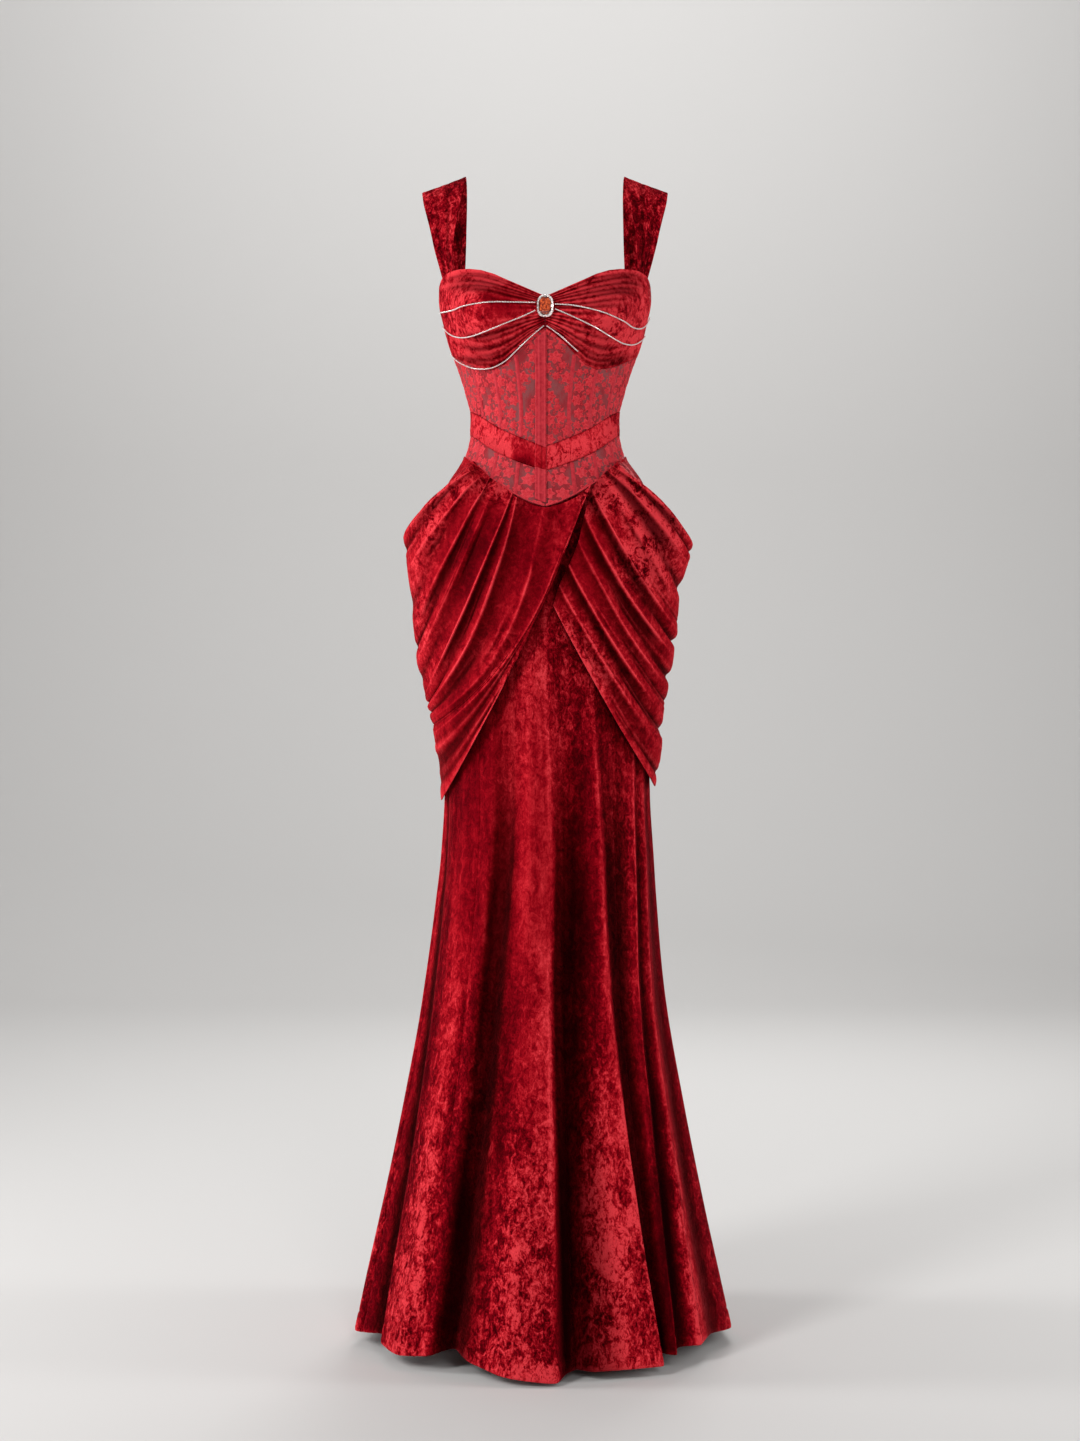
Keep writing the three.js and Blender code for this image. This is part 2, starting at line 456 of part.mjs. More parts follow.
const link = new THREE.Shape();
for (let i = 0; i < 6; i++) {
  const a = (i / 6) * Math.PI * 2, x = CHAIN_R * Math.cos(a), y = CHAIN_R * Math.sin(a);
  i ? link.lineTo(x, y) : link.moveTo(x, y);
}
link.closePath();
for (const [name, points] of Object.entries(CHAINS)) {
  const s = name.endsWith("left") ? 1 : -1;
  const lift = WALL + CHAIN_R + CHAIN_LIFT;
  const path = new THREE.CatmullRomCurve3(points.map(([turn, down]) => {
    const p = onBust(s * turn, down), e = 0.5;
    const n = onBust(s * turn + e, down).sub(onBust(s * turn - e, down)).cross(onBust(s * turn, down - 1).sub(onBust(s * turn, down + 1))).normalize();
    if (turn < 6 && name.indexOf("lower") < 0) {
      p.x = s * (BROOCH.halfWidth + 1.6);
      p.y = seatY - 1.2;
      return p;
    }
    return p.addScaledVector(n, lift);
  }));
  const g = new THREE.ExtrudeGeometry(link, { steps: points.length * 3, extrudePath: path, bevelEnabled: false });
  const m = new THREE.Mesh(g, SILVER);
  m.name = name;
  add(m);
}

export default dress;
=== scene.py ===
import math

import bpy
import numpy as np
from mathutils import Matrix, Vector


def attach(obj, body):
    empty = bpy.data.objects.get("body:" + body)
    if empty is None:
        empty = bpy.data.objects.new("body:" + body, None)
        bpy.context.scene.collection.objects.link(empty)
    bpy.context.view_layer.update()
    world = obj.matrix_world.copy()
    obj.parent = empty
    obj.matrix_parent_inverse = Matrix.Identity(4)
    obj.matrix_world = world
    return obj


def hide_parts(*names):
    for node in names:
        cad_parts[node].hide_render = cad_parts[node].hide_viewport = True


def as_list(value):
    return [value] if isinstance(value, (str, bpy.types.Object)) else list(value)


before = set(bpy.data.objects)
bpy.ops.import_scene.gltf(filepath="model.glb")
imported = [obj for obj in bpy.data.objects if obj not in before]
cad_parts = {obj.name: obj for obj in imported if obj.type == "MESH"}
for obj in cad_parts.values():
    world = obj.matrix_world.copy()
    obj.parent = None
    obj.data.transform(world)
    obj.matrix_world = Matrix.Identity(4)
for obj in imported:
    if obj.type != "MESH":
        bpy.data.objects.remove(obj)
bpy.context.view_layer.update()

# Evening dress: gathered velvet cups, lace corset, velvet waistband, pointed lace basque, swagged hip
# drapes and a fluted trumpet skirt. Sizes are in millimetres until a mesh is made, in metres after.
# "turn" is the angle round the body in degrees, 0 at centre front and 90 at the wearer's left side;
# "down" is the distance below the shoulder line.
MM = 0.001
HEM, WALL, BAND_WALL, STRAP_WALL, SEAM = 1498.0, 2.0, 2.3, 1.8, 0.3
GRID, PRINCESS, SIDE, CLEAVAGE, BACK_ZIP = 9, 36, 90, 0.4, 2.2
ZIP_FOOT, CHAIN_R, CHAIN_LIFT, BACK_LIFT = 500.0, 1.0, 1.9, 10.5
FLUTE_START, FLUTE_GROWTH = 600.0, 1.15
BROOCH = dict(down=183.5, half_width=10.8, half_height=14.4, thick=4.2)
STONE = dict(half_width=7.2, half_height=10.3, thick=4.6)
BUST = dict(lift=30.0, turn=34.0, spread=20.0, down=188.0, height=38.0, splay=0.42)
SKIRT_SEAMS = [-180, -99, -40.5, 40.5, 99, 180]
rng = np.random.default_rng(11)


# ---------- tables ----------
def table(names, rows):
    a = np.array(rows, float)
    return {n: a[:, i] for i, n in enumerate(names.split())}


FORM = table("down half front back sway", [
    (60, 118, 70, 78, 0), (100, 129, 80, 82, 0), (130, 134, 86, 84, 0), (160, 135.5, 89, 84, 0),
    (190, 130, 89, 82, 0), (222, 121.5, 86, 79, 0), (252, 110.5, 82, 76, 0), (283, 101, 77, 73, 0),
    (315, 94, 72.5, 70, 0), (335, 95, 72, 71, 0), (365, 102, 76, 76, 0), (400, 113, 82, 86, 0),
    (436, 122, 88, 97, 0), (480, 129, 94, 107, 0), (540, 132, 99, 114, 0), (620, 132, 102, 115, 0),
    (700, 131, 104, 112, 0.5), (800, 130, 106, 110, 3.2), (880, 134, 110, 112, 3.8), (940, 139, 115, 117, 2.5),
    (1070, 153, 130, 134, 0), (1200, 175, 154, 160, 0), (1330, 201, 185, 192, 0), (1440, 226, 216, 224, 0),
    (1520, 244, 240, 246, 0)])
CUP = table("turn top foot", [
    (0, 171, 209), (9, 161.5, 223), (18, 151.5, 240), (27, 141.5, 253), (36, 134.5, 258), (45, 130.8, 256.5),
    (54, 129.2, 252), (63, 129.2, 246), (72, 131.5, 240), (81, 136.5, 235), (90, 143, 231)])
SEAMS = table("turn neck bandTop bandFoot basque", [
    (0, 143, 358, 389, 436), (9, 143, 352.5, 383.5, 430), (18, 143, 346.5, 377.5, 421), (27, 143, 340, 371, 411),
    (36, 143, 333.5, 364.5, 401.5), (54, 143, 319, 350, 384), (72, 143, 308.5, 339.5, 370), (90, 143, 304, 335, 363),
    (117, 147, 306, 337, 367), (144, 151, 312, 343, 380), (180, 154, 322, 353, 402)])
# "sharp" draws the fold to an edge.
FLUTES = table("turn hemTurn out sharp", [
    (-180, -180, 8, 0.3), (-167, -166, -16, 0), (-156, -153, 7, 0.4), (-146, -140, -18, 0), (-137, -127, 8, 0.5),
    (-128, -115, -14, 0), (-118, -101, 3, 0.5), (-110, -91, -5, 0), (-102, -79, 11, 0.6), (-90, -66, -13, 0),
    (-72, -58, 2, 0), (-50, -48, 8, 0.4), (-36, -39, -3, 0), (-20, -31.5, -22, 0), (-14, -22, -4, 0),
    (-8, -10, 9, 0.1), (0, 3, 7, 0.9), (5, 6.5, -14, 0), (10, 10, -25, 0), (17, 16, -8, 0), (26, 35.5, 9, 0.9),
    (33, 39, -14, 0), (60, 42.5, 2, 0.9), (66, 46.5, -10, 0), (72, 53, 6, 0.9), (84, 68, -10, 0),
    (95, 82, 5, 0.5), (104, 98, -4, 0), (113, 112, -12, 0), (125, 124, 7, 0.5), (138, 137, -18, 0),
    (151, 151, 8, 0.5), (165, 165, -15, 0), (180, 180, 8, 0.3)])
HEMLINE = table("turn rise", [
    (-180, 4), (-146, 10), (-118, 8), (-102, 12), (-90, 18), (-66, 13), (-50, 12), (-34, 16), (-20, 24),
    (-14, 14), (-8, 5), (0, 0), (6, 6), (26, 8), (34, 16), (60, 15), (68, 19), (84, 17), (96, 12), (113, 8),
    (140, 10), (180, 4)])
DRAPE_COLUMNS = "x down half side bow backX backDown lift0 lift dip"
DRAPE_RIGHT = table(DRAPE_COLUMNS, [
    (90, 376, 107.5, 363, 0, 92, 366, 3.2, 5, 0), (88, 379, 143, 430, -0.25, 88, 369, 3.2, 12, 1),
    (84, 383, 182, 468, -0.35, 83, 373, 3.2, 16, 5), (76, 391, 177, 512, -0.2, 74, 379, 3.2, 16, 3),
    (70, 397, 169, 585, -0.05, 62, 386, 3.2, 16, 4), (61, 404, 164.5, 630, 0.1, 50, 392, 3.2, 17, 5),
    (42, 418, 154, 672, 0.2, 38, 397, 3.2, 17.5, 5), (36, 424, 151, 687, 1.1, 26, 402, 3.2, 18, 5),
    (0, 437, 147, 703, 2.2, 14, 408, 3.4, 18, 4), (-44, 421, 143.5, 722, 1.3, 6, 424, 7, 18, 2),
    (-58, 407, 137, 808, 0.32, 5, 452, 8, 18, 0)])
DRAPE_LEFT = table(DRAPE_COLUMNS, [
    (92, 375, 107.5, 363, 0, 92, 366, 3.2, 5, 0), (90, 378, 143, 430, -.25, 88, 369, 3.2, 9.5, 1),
    (86, 382, 190, 476, -.3, 83, 373, 3.2, 9.5, 7), (80, 388, 184, 503, -.2, 74, 379, 3.2, 9.5, 6),
    (72, 395, 172, 556, 0, 62, 386, 3.2, 9.5, 3), (59, 414, 170, 590, .3, 50, 392, 3.2, 9.5, 7),
    (50, 446, 166, 622, .5, 38, 397, 3.2, 9.5, 7), (42, 480, 158, 664, .4, 26, 402, 3.2, 9.5, 6),
    (30, 510, 152, 698, .3, 14, 408, 3.2, 9.5, 6), (18, 536, 148.5, 742, .2, 6, 424, 3.2, 9.5, 5),
    (10, 560, 139, 790, .1, 5, 450, 3.2, 9.5, 0)])
STRAP = table("share inX inY inDown outX outY outDown", [
    (0, 0, 0, 0, 0, 0, 0), (.14, 117.5, -41, 96, 141, -25, 100), (.28, 112, -33, 56, 149, -20, 66),
    (.41, 105.5, -17, 16, 157, -10, 34), (.5, 102.5, 0, 0, 159, 4, 20), (.6, 102, 20, 12, 156, 18, 32),
    (.73, 103, 41, 48, 147, 33, 64), (.87, 104.5, 52, 94, 135, 40, 102), (1, 0, 0, 0, 0, 0, 0)])
CHAINS = {
    "chain_upper_right": [(5.5, 179), (15, 180), (28, 181.5), (42, 182.5), (56, 181.5), (70, 179), (84, 176)],
    "chain_middle_right": [(5.5, 189), (13, 197), (23, 206), (34, 213), (46, 216), (58, 214), (70, 207), (84, 194)],
    "chain_upper_left": [(5.5, 181), (15, 184), (28, 192), (42, 199), (55, 202.5), (67, 201), (77, 194), (85, 182)],
    "chain_middle_left": [(5.5, 187), (15, 197), (27, 209), (39, 218.5), (51, 223), (63, 222), (74, 215), (84, 206)],
    "chain_lower_right": [(1.0, 207), (8, 219.5), (16, 234), (26, 249), (37, 256), (48, 255.5), (58, 251), (70, 242), (82, 230)],
    "chain_lower_left": [(1.0, 207), (7, 216), (14, 228), (20, 237.5)],
}
# Gathers of a cup, fanning from the centre: share of the cup's height from its foot, depth, width, and how
# far they run, for the wearer's right (smoother in the middle) and left.
GATHERS = {
    "right": table("at depth wide run", [
        (.035, 1.3, .016, .95), (.085, 1.9, .018, .9), (.14, 1.3, .015, .72), (.20, 2.2, .022, .86), (.27, 1.4, .016, .6),
        (.335, 1.9, .022, .74), (.41, 1.2, .02, .42), (.50, .8, .03, .3), (.60, .8, .03, .3), (.69, 1.1, .022, .45),
        (.765, 1.8, .02, .68), (.82, 1.4, .016, .9), (.875, 2.0, .018, .8), (.925, 1.2, .014, .96), (.965, 1.2, .014, .7)]),
    "left": table("at depth wide run", [
        (.035, 1.4, .016, .96), (.09, 2.0, .018, .88), (.15, 1.4, .015, .8), (.215, 2.0, .02, .7), (.29, 1.6, .016, .56),
        (.36, 1.9, .02, .5), (.44, 1.4, .018, .45), (.52, 1.8, .02, .48), (.60, 1.6, .018, .62), (.665, 2.1, .02, .6),
        (.73, 1.7, .017, .74), (.79, 2.1, .018, .8), (.85, 1.6, .016, .9), (.905, 1.9, .016, .82), (.955, 1.2, .013, .95)]),
}
# Places where the velvet is darker (less) or brighter (more), partly the nap lying smooth or crushed and partly painted
# shade and painted highlight: x, down, reach across and down, amount. Front only.
NAP_AND_PAINTED_LIGHT = table("x down rx rd amount", [
    (-52, 178, 30, 22, -.8), (-108, 160, 26, 26, .8), (-62, 147, 24, 10, .6), (60, 159, 30, 20, .7), (58, 216, 30, 20, .5), (97, 202, 26, 26, .8),
    (-100, 215, 26, 22, .4), (-30, 384, 19, 18, -1.8), (-70, 364, 18, 15, 2.4), (-98, 345, 24, 18, 1.4), (26, 378, 20, 14, .9), (70, 352, 22, 14, .2),
    (96, 330, 18, 16, .8), (-147, 452, 26, 36, .6), (-123, 403, 30, 22, .8), (-172, 560, 20, 50, .5), (-58, 408, 30, 22, 1.0), (-84, 480, 34, 50, -.7),
    (-98, 525, 30, 50, -.6), (-19, 540, 30, 60, -.5), (91, 409, 36, 26, 2.1), (60, 420, 16, 22, 1.0), (146, 452, 34, 26, 1.8), (127, 505, 34, 30, 1.3),
    (60, 500, 22, 40, -.6), (24, 592, 22, 26, .6), (58, 640, 26, 36, .7), (-150, 640, 18, 50, .1), (-110, 690, 24, 40, -.5),
    (-13, 640, 40, 60, .3), (24, 700, 26, 80, .5), (-40, 780, 20, 110, .4), (24, 842, 14, 100, .4), (-70, 900, 22, 120, .25), (-104, 800, 26, 90, -.3),
    (-49, 1381, 50, 110, .25), (80, 1390, 32, 110, 1.35), (66, 1240, 26, 130, 1.05), (-164, 1410, 30, 60, .35), (-214, 1385, 26, 90, .15), (182, 1440, 26, 60, .2),
    (-30, 1140, 26, 120, -.2), (10, 1480, 60, 14, .5), (-100, 1470, 40, 20, .6), (-150, 1180, 30, 120, -.2),
    (21, 1390, 13, 150, -1.6), (149, 1400, 12, 140, -1.0), (-104, 1330, 13, 90, -1.1), (-122, 1450, 13, 60, -.9)])


# ---------- working functions ----------
def curve(tab, key, column):
    """Smooth curve through one column of a table, without overshoot."""
    x, y = tab[key], tab[column]
    h, d = np.diff(x), np.diff(y) / np.diff(x)
    m = np.zeros(len(x))
    m[0], m[-1] = d[0], d[-1]
    for i in range(1, len(x) - 1):
        if d[i - 1] * d[i] > 0:
            a, b = h[i], h[i - 1]
            m[i] = 3 * (a + b) / ((2 * a + b) / d[i - 1] + (a + 2 * b) / d[i])

    def f(at):
        q = np.clip(at, x[0], x[-1])
        i = np.clip(np.searchsorted(x, q, side="left") - 1, 0, len(x) - 2)
        t = (q - x[i]) / h[i]
        t2, t3 = t * t, t * t * t
        return ((2 * t3 - 3 * t2 + 1) * y[i] + (t3 - 2 * t2 + t) * h[i] * m[i]
                + (3 * t2 - 2 * t3) * y[i + 1] + (t3 - t2) * h[i] * m[i + 1])
    return f


def curves(tab, key):
    return {c: curve(tab, key, c) for c in tab if c != key}


def mix(a, b, t):
    return a + (b - a) * t


def ease(t):
    t = np.clip(t, 0, 1)
    return t * t * (3 - 2 * t)


def dot(a, b):
    return (a * b).sum(-1, keepdims=True)


def unit(a):
    return a / np.maximum(np.linalg.norm(a, axis=-1, keepdims=True), 1e-9)


form, seams, cup = curves(FORM, "down"), curves(SEAMS, "turn"), curves(CUP, "turn")
hemline = curve(HEMLINE, "turn", "rise")
flute_turn = curve(FLUTES, "turn", "hemTurn")


def gridded(f):
    def g(turn):
        a = np.abs(turn) / GRID
        k = np.floor(a)
        return mix(f(k * GRID), f((k + 1) * GRID), a - k)
    return g


band_top, band_foot, basque_foot = gridded(seams["bandTop"]), gridded(seams["bandFoot"]), gridded(seams["basque"])
cup_top, cup_foot, back_neck = gridded(cup["top"]), gridded(cup["foot"]), gridded(seams["neck"])


def on_form(turn, down, out=0.0):
    a = np.radians(turn)
    s, c = np.sin(a), np.cos(a)
    half = form["half"](down) + out
    deep = np.where(c >= 0, form["front"](down), form["back"](down)) + out
    return np.stack(np.broadcast_arrays(half * s + form["sway"](down), -deep * c, -down), -1)


def on_bust(turn, down):
    p = on_form(turn, down)
    q = (np.abs(turn) - BUST["turn"]) / BUST["spread"]
    h = (down - BUST["down"]) / BUST["height"]
    lift = BUST["lift"] * np.exp(-q * q - h * h)
    side = BUST["splay"] * np.sign(turn) * np.minimum(1, np.abs(turn) / 20)
    way = unit(np.stack(np.broadcast_arrays(side, -1.0, 0.0), -1))
    return p + way * np.asarray(lift)[..., None]


def flute_out(wrapped):
    """The flute's height at a turn, pointed on the side of a sharp fold."""
    x, y, k = FLUTES["turn"], FLUTES["out"], FLUTES["sharp"]
    i = np.clip(np.searchsorted(x, wrapped, side="left") - 1, 0, len(x) - 2)
    t = np.clip((wrapped - x[i]) / (x[i + 1] - x[i]), 0, 1)
    from_first = mix(ease(t), np.sin(t * math.pi / 2), k[i])
    from_last = 1 - mix(ease(1 - t), np.sin((1 - t) * math.pi / 2), k[i + 1])
    s = np.where(k[i] >= k[i + 1], from_first, from_last)
    return mix(y[i], y[i + 1], s)


def ripple(a, b, seed, octaves=3, start=1.0):
    """Soft uneven waves of two coordinates, about -1 to 1, the same at each run."""
    r = np.random.default_rng(seed)
    total, weight = 0.0, 0.0
    for o in range(octaves):
        f = start * 1.9 ** o
        for _ in range(5):
            th, ph = r.uniform(0, math.pi), r.uniform(0, 2 * math.pi)
            g = f * r.uniform(.7, 1.35)
            total = total + np.sin(g * (a * math.cos(th) + b * math.sin(th)) + ph) / (1.55 ** o)
        weight += 5 ** .5 / (1.55 ** o)
    return total / weight


def normals(p):
    du, dv = np.gradient(p, axis=1), np.gradient(p, axis=0)
    return unit(np.cross(du, dv))


def nap_and_painted_light_of(p):
    """The nap's bias at points of the front, in millimetres, with its painted highlight and painted shade."""
    x, d, y = p[..., 0], -p[..., 2], p[..., 1]
    total = np.zeros(x.shape)
    for i in range(len(NAP_AND_PAINTED_LIGHT["x"])):
        a, b = (x - NAP_AND_PAINTED_LIGHT["x"][i]) / NAP_AND_PAINTED_LIGHT["rx"][i], (d - NAP_AND_PAINTED_LIGHT["down"][i]) / NAP_AND_PAINTED_LIGHT["rd"][i]
        total += NAP_AND_PAINTED_LIGHT["amount"][i] * np.exp(-a * a - b * b)
    return total * np.clip(-y / 40, 0, 1)


COLLECTION = bpy.context.scene.collection
PIECES = {}


def mesh_object(name, points, faces, materials, attributes=None, smooth=True, face_materials=None, metres=False):
    """faces is a list of integer arrays, each of faces with one number of corners."""
    me = bpy.data.meshes.new(name)
    pts = np.asarray(points, np.float64).reshape(-1, 3) * (1 if metres else MM)
    faces = [np.asarray(f, np.int32) for f in faces if len(f)]
    me.vertices.add(len(pts))
    me.vertices.foreach_set("co", pts.astype(np.float32).ravel())
    loops = np.concatenate([f.ravel() for f in faces])
    counts = np.concatenate([np.full(len(f), f.shape[1], np.int32) for f in faces])
    me.loops.add(len(loops))
    me.loops.foreach_set("vertex_index", loops)
    me.polygons.add(len(counts))
    me.polygons.foreach_set("loop_start", np.concatenate([[0], np.cumsum(counts)[:-1]]).astype(np.int32))
    me.polygons.foreach_set("use_smooth", np.full(len(counts), smooth))
    for m in materials:
        me.materials.append(m)
    if face_materials is not None:
        me.polygons.foreach_set("material_index", np.asarray(face_materials, np.int32))
    for key, values in (attributes or {}).items():
        values = np.asarray(values, np.float32)
        kind = "FLOAT" if values.ndim == 1 else "FLOAT_VECTOR"
        at = me.attributes.new(key, kind, "POINT")
        at.data.foreach_set("value" if values.ndim == 1 else "vector", values.ravel())
    me.update(calc_edges=True)
    me.validate(clean_customdata=False)
    ob = bpy.data.objects.new(name, me)
    COLLECTION.objects.link(ob)
    PIECES[name] = ob
    return ob


def grid_faces(rows, cols, start=0, flip=False, wrap=False):
    i, j = np.meshgrid(np.arange(rows - 1), np.arange(cols if wrap else cols - 1), indexing="ij")
    k = (j + 1) % cols
    a, b, c, d = start + i * cols + j, start + i * cols + k, start + (i + 1) * cols + k, start + (i + 1) * cols + j
    f = np.stack([a, b, c, d], -1).reshape(-1, 4)
    return f[:, ::-1] if flip else f


def shell(name, outer, wall, materials, flip=False, attributes=None):
    """A sheet of cloth from the grid of its outer side (rows by columns), with rounded edges all round."""
    rows, cols = outer.shape[:2]
    n = normals(outer) * (-1 if flip else 1)
    inner = outer - n * wall
    mid = (outer + inner) / 2
    du = unit(np.gradient(outer, axis=1))
    dv = unit(np.gradient(outer, axis=0))
    # The border, once round: top row, right column, bottom row, left column.
    loop = ([(0, j) for j in range(cols - 1)] + [(i, cols - 1) for i in range(rows - 1)]
            + [(rows - 1, j) for j in range(cols - 1, 0, -1)] + [(i, 0) for i in range(rows - 1, 0, -1)])
    li, lj = np.array(loop).T
    push = np.zeros((len(loop), 3))
    push -= dv[li, lj] * (li == 0)[:, None]
    push += dv[li, lj] * (li == rows - 1)[:, None]
    push -= du[li, lj] * (lj == 0)[:, None]
    push += du[li, lj] * (lj == cols - 1)[:, None]
    rim = mid[li, lj] + unit(push) * wall * .35
    total = rows * cols
    pts = np.concatenate([outer.reshape(-1, 3), inner.reshape(-1, 3), rim])
    ids = li * cols + lj
    nxt = np.roll(ids, -1)
    r0 = 2 * total + np.arange(len(loop))
    r1 = np.roll(r0, -1)
    f = [grid_faces(rows, cols, 0, flip), grid_faces(rows, cols, total, not flip)]
    upper = np.stack([nxt, ids, r0, r1], -1)
    lower = np.stack([r1, r0, total + ids, total + nxt], -1)
    f += [upper[:, ::-1], lower[:, ::-1]] if flip else [upper, lower]
    full = {}
    for key, v in (attributes or {}).items():
        v = np.asarray(v, float)
        flat = v.reshape(total, *v.shape[2:])
        full[key] = np.concatenate([flat, flat, flat[ids]])
    return mesh_object(name, pts, [np.concatenate(f)], materials, full)


def area_of(ob):
    me = ob.data
    a = np.zeros(len(me.polygons))
    me.polygons.foreach_get("area", a)
    return float(a.sum())


# ---------- materials ----------
def material(name):
    m = bpy.data.materials.new(name)
    m.use_nodes = True
    nt = m.node_tree
    bsdf = next(n for n in nt.nodes if n.type == "BSDF_PRINCIPLED")
    return m, nt, bsdf


def node(nt, kind, **values):
    n = nt.nodes.new(kind)
    for k, v in values.items():
        if k in n.inputs:
            n.inputs[k].default_value = v
        else:
            setattr(n, k, v)
    return n


def ramp(nt, source, stops):
    r = nt.nodes.new("ShaderNodeValToRGB")
    while len(r.color_ramp.elements) > 1:
        r.color_ramp.elements.remove(r.color_ramp.elements[-1])
    for i, (at, col) in enumerate(stops):
        e = r.color_ramp.elements[0] if i == 0 else r.color_ramp.elements.new(at)
        e.position = at
        e.color = col if len(col) == 4 else (*col, 1)
    nt.links.new(source, r.inputs["Fac"])
    return r.outputs["Color"]


def maths(nt, op, a, b=None, c=None, clamp=False):
    n = nt.nodes.new("ShaderNodeMath")
    n.operation, n.use_clamp = op, clamp
    for i, v in enumerate((a, b, c)):
        if v is None:
            continue
        if isinstance(v, (int, float)):
            n.inputs[i].default_value = v
        else:
            nt.links.new(v, n.inputs[i])
    return n.outputs[0]


def blend_colour(nt, factor, a, b, mode="MIX"):
    n = nt.nodes.new("ShaderNodeMix")
    n.data_type, n.blend_type = "RGBA", mode
    if isinstance(factor, (int, float)):
        n.inputs["Factor"].default_value = factor
    else:
        nt.links.new(factor, n.inputs["Factor"])
    for socket, v in ((n.inputs[6], a), (n.inputs[7], b)):
        if isinstance(v, tuple):
            socket.default_value = (*v, 1)
        else:
            nt.links.new(v, socket)
    return n.outputs[2]


def noise(nt, vector, scale, detail=4.0, rough=.55, distort=0.0, out="Fac"):
    n = node(nt, "ShaderNodeTexNoise", Scale=scale, Detail=detail, Roughness=rough, Distortion=distort)
    nt.links.new(vector, n.inputs["Vector"])
    return n.outputs[out]


def stretched(nt, scale):
    co = nt.nodes.new("ShaderNodeTexCoord")
    mp = nt.nodes.new("ShaderNodeMapping")
    mp.inputs["Scale"].default_value = scale
    nt.links.new(co.outputs["Object"], mp.inputs["Vector"])
    return mp.outputs["Vector"]


def attribute(nt, name):
    n = nt.nodes.new("ShaderNodeAttribute")
    n.attribute_type, n.attribute_name = "GEOMETRY", name
    return n.outputs["Fac"]


def velvet_material(name, patch=130.0, crush=1.0, tall=.6, lines=.55):
    """Crushed velvet: the nap lies in patches that send light different ways, dark where it stands; each piece's
    painted highlight and painted shade are added to its colour.
    """
    m, nt, bsdf = material(name)
    v = stretched(nt, (1, 1, tall))
    broad = noise(nt, v, patch * .22, 2.0, .5, .3)
    patches = noise(nt, v, patch, 6.0, .70, .9)
    speck = noise(nt, v, patch * 3.6, 3.0, .72, .4)
    streaks = noise(nt, stretched(nt, (1, 1, .06)), 75.0, 4.0, .6)
    nap_and_painted_light, painted_shade, crushed = attribute(nt, "nap_and_painted_light"), attribute(nt, "painted_shade"), attribute(nt, "crush")
    # Which way the nap lies, with each piece's painted highlight and painted shade: under 0 standing and dark, over 1
    # laid over and bright.
    mottle = maths(nt, "MULTIPLY", maths(nt, "SUBTRACT", patches, .5), 4.6)
    mottle = maths(nt, "MULTIPLY_ADD", maths(nt, "SUBTRACT", speck, .5), 2.4, mottle)
    mottle = maths(nt, "MULTIPLY_ADD", maths(nt, "SUBTRACT", broad, .5), 1.6, mottle)
    amount = maths(nt, "MULTIPLY_ADD", crushed, crush, .14)
    laid_and_painted_light = maths(nt, "MULTIPLY_ADD", mottle, amount, .40)
    laid_and_painted_light = maths(nt, "MULTIPLY_ADD", maths(nt, "SUBTRACT", streaks, .5), lines, laid_and_painted_light)
    # Each piece's nap bias, with its painted highlight and painted shade.
    laid_and_painted_light = maths(nt, "MULTIPLY_ADD", nap_and_painted_light, .24, laid_and_painted_light)
    colour = ramp(nt, laid_and_painted_light, [(0, (.050, .0001, .0018)), (.25, (.105, .0003, .0030)), (.42, (.20, .0009, .0052)),
                             (.58, (.34, .0036, .0100)), (.78, (.58, .018, .028)), (1, (.84, .050, .064))])
    # Painted shade: darkens the colour in troughs, creases, grooves and under overlapping cloth.
    shade = ramp(nt, painted_shade, [(0, (1, 1, 1)), (.3, (.66, .58, .60)), (.65, (.30, .22, .24)), (1, (.12, .06, .08))])
    colour = blend_colour(nt, 1.0, colour, shade, "MULTIPLY")
    nt.links.new(colour, bsdf.inputs["Base Color"])
    nt.links.new(ramp(nt, laid_and_painted_light, [(0, (.80, .80, .80)), (.6, (.60, .60, .60)), (1, (.42, .42, .42))]), bsdf.inputs["Roughness"])
    bsdf.inputs["Specular IOR Level"].default_value = .015
    bsdf.inputs["Specular Tint"].default_value = (1.0, .22, .26, 1)
    bsdf.inputs["Sheen Weight"].default_value = .30
    bsdf.inputs["Sheen Roughness"].default_value = .30
    bsdf.inputs["Sheen Tint"].default_value = (1.0, .03, .055, 1)
    fibre = noise(nt, stretched(nt, (1, 1, .45)), 1500.0, 2.0, .6)
    b1 = node(nt, "ShaderNodeBump", Strength=.8, Distance=.0014)
    nt.links.new(laid_and_painted_light, b1.inputs["Height"])
    b2 = node(nt, "ShaderNodeBump", Strength=.22, Distance=.0004)
    nt.links.new(fibre, b2.inputs["Height"])
    nt.links.new(b1.outputs["Normal"], b2.inputs["Normal"])
    nt.links.new(b2.outputs["Normal"], bsdf.inputs["Normal"])
    return m


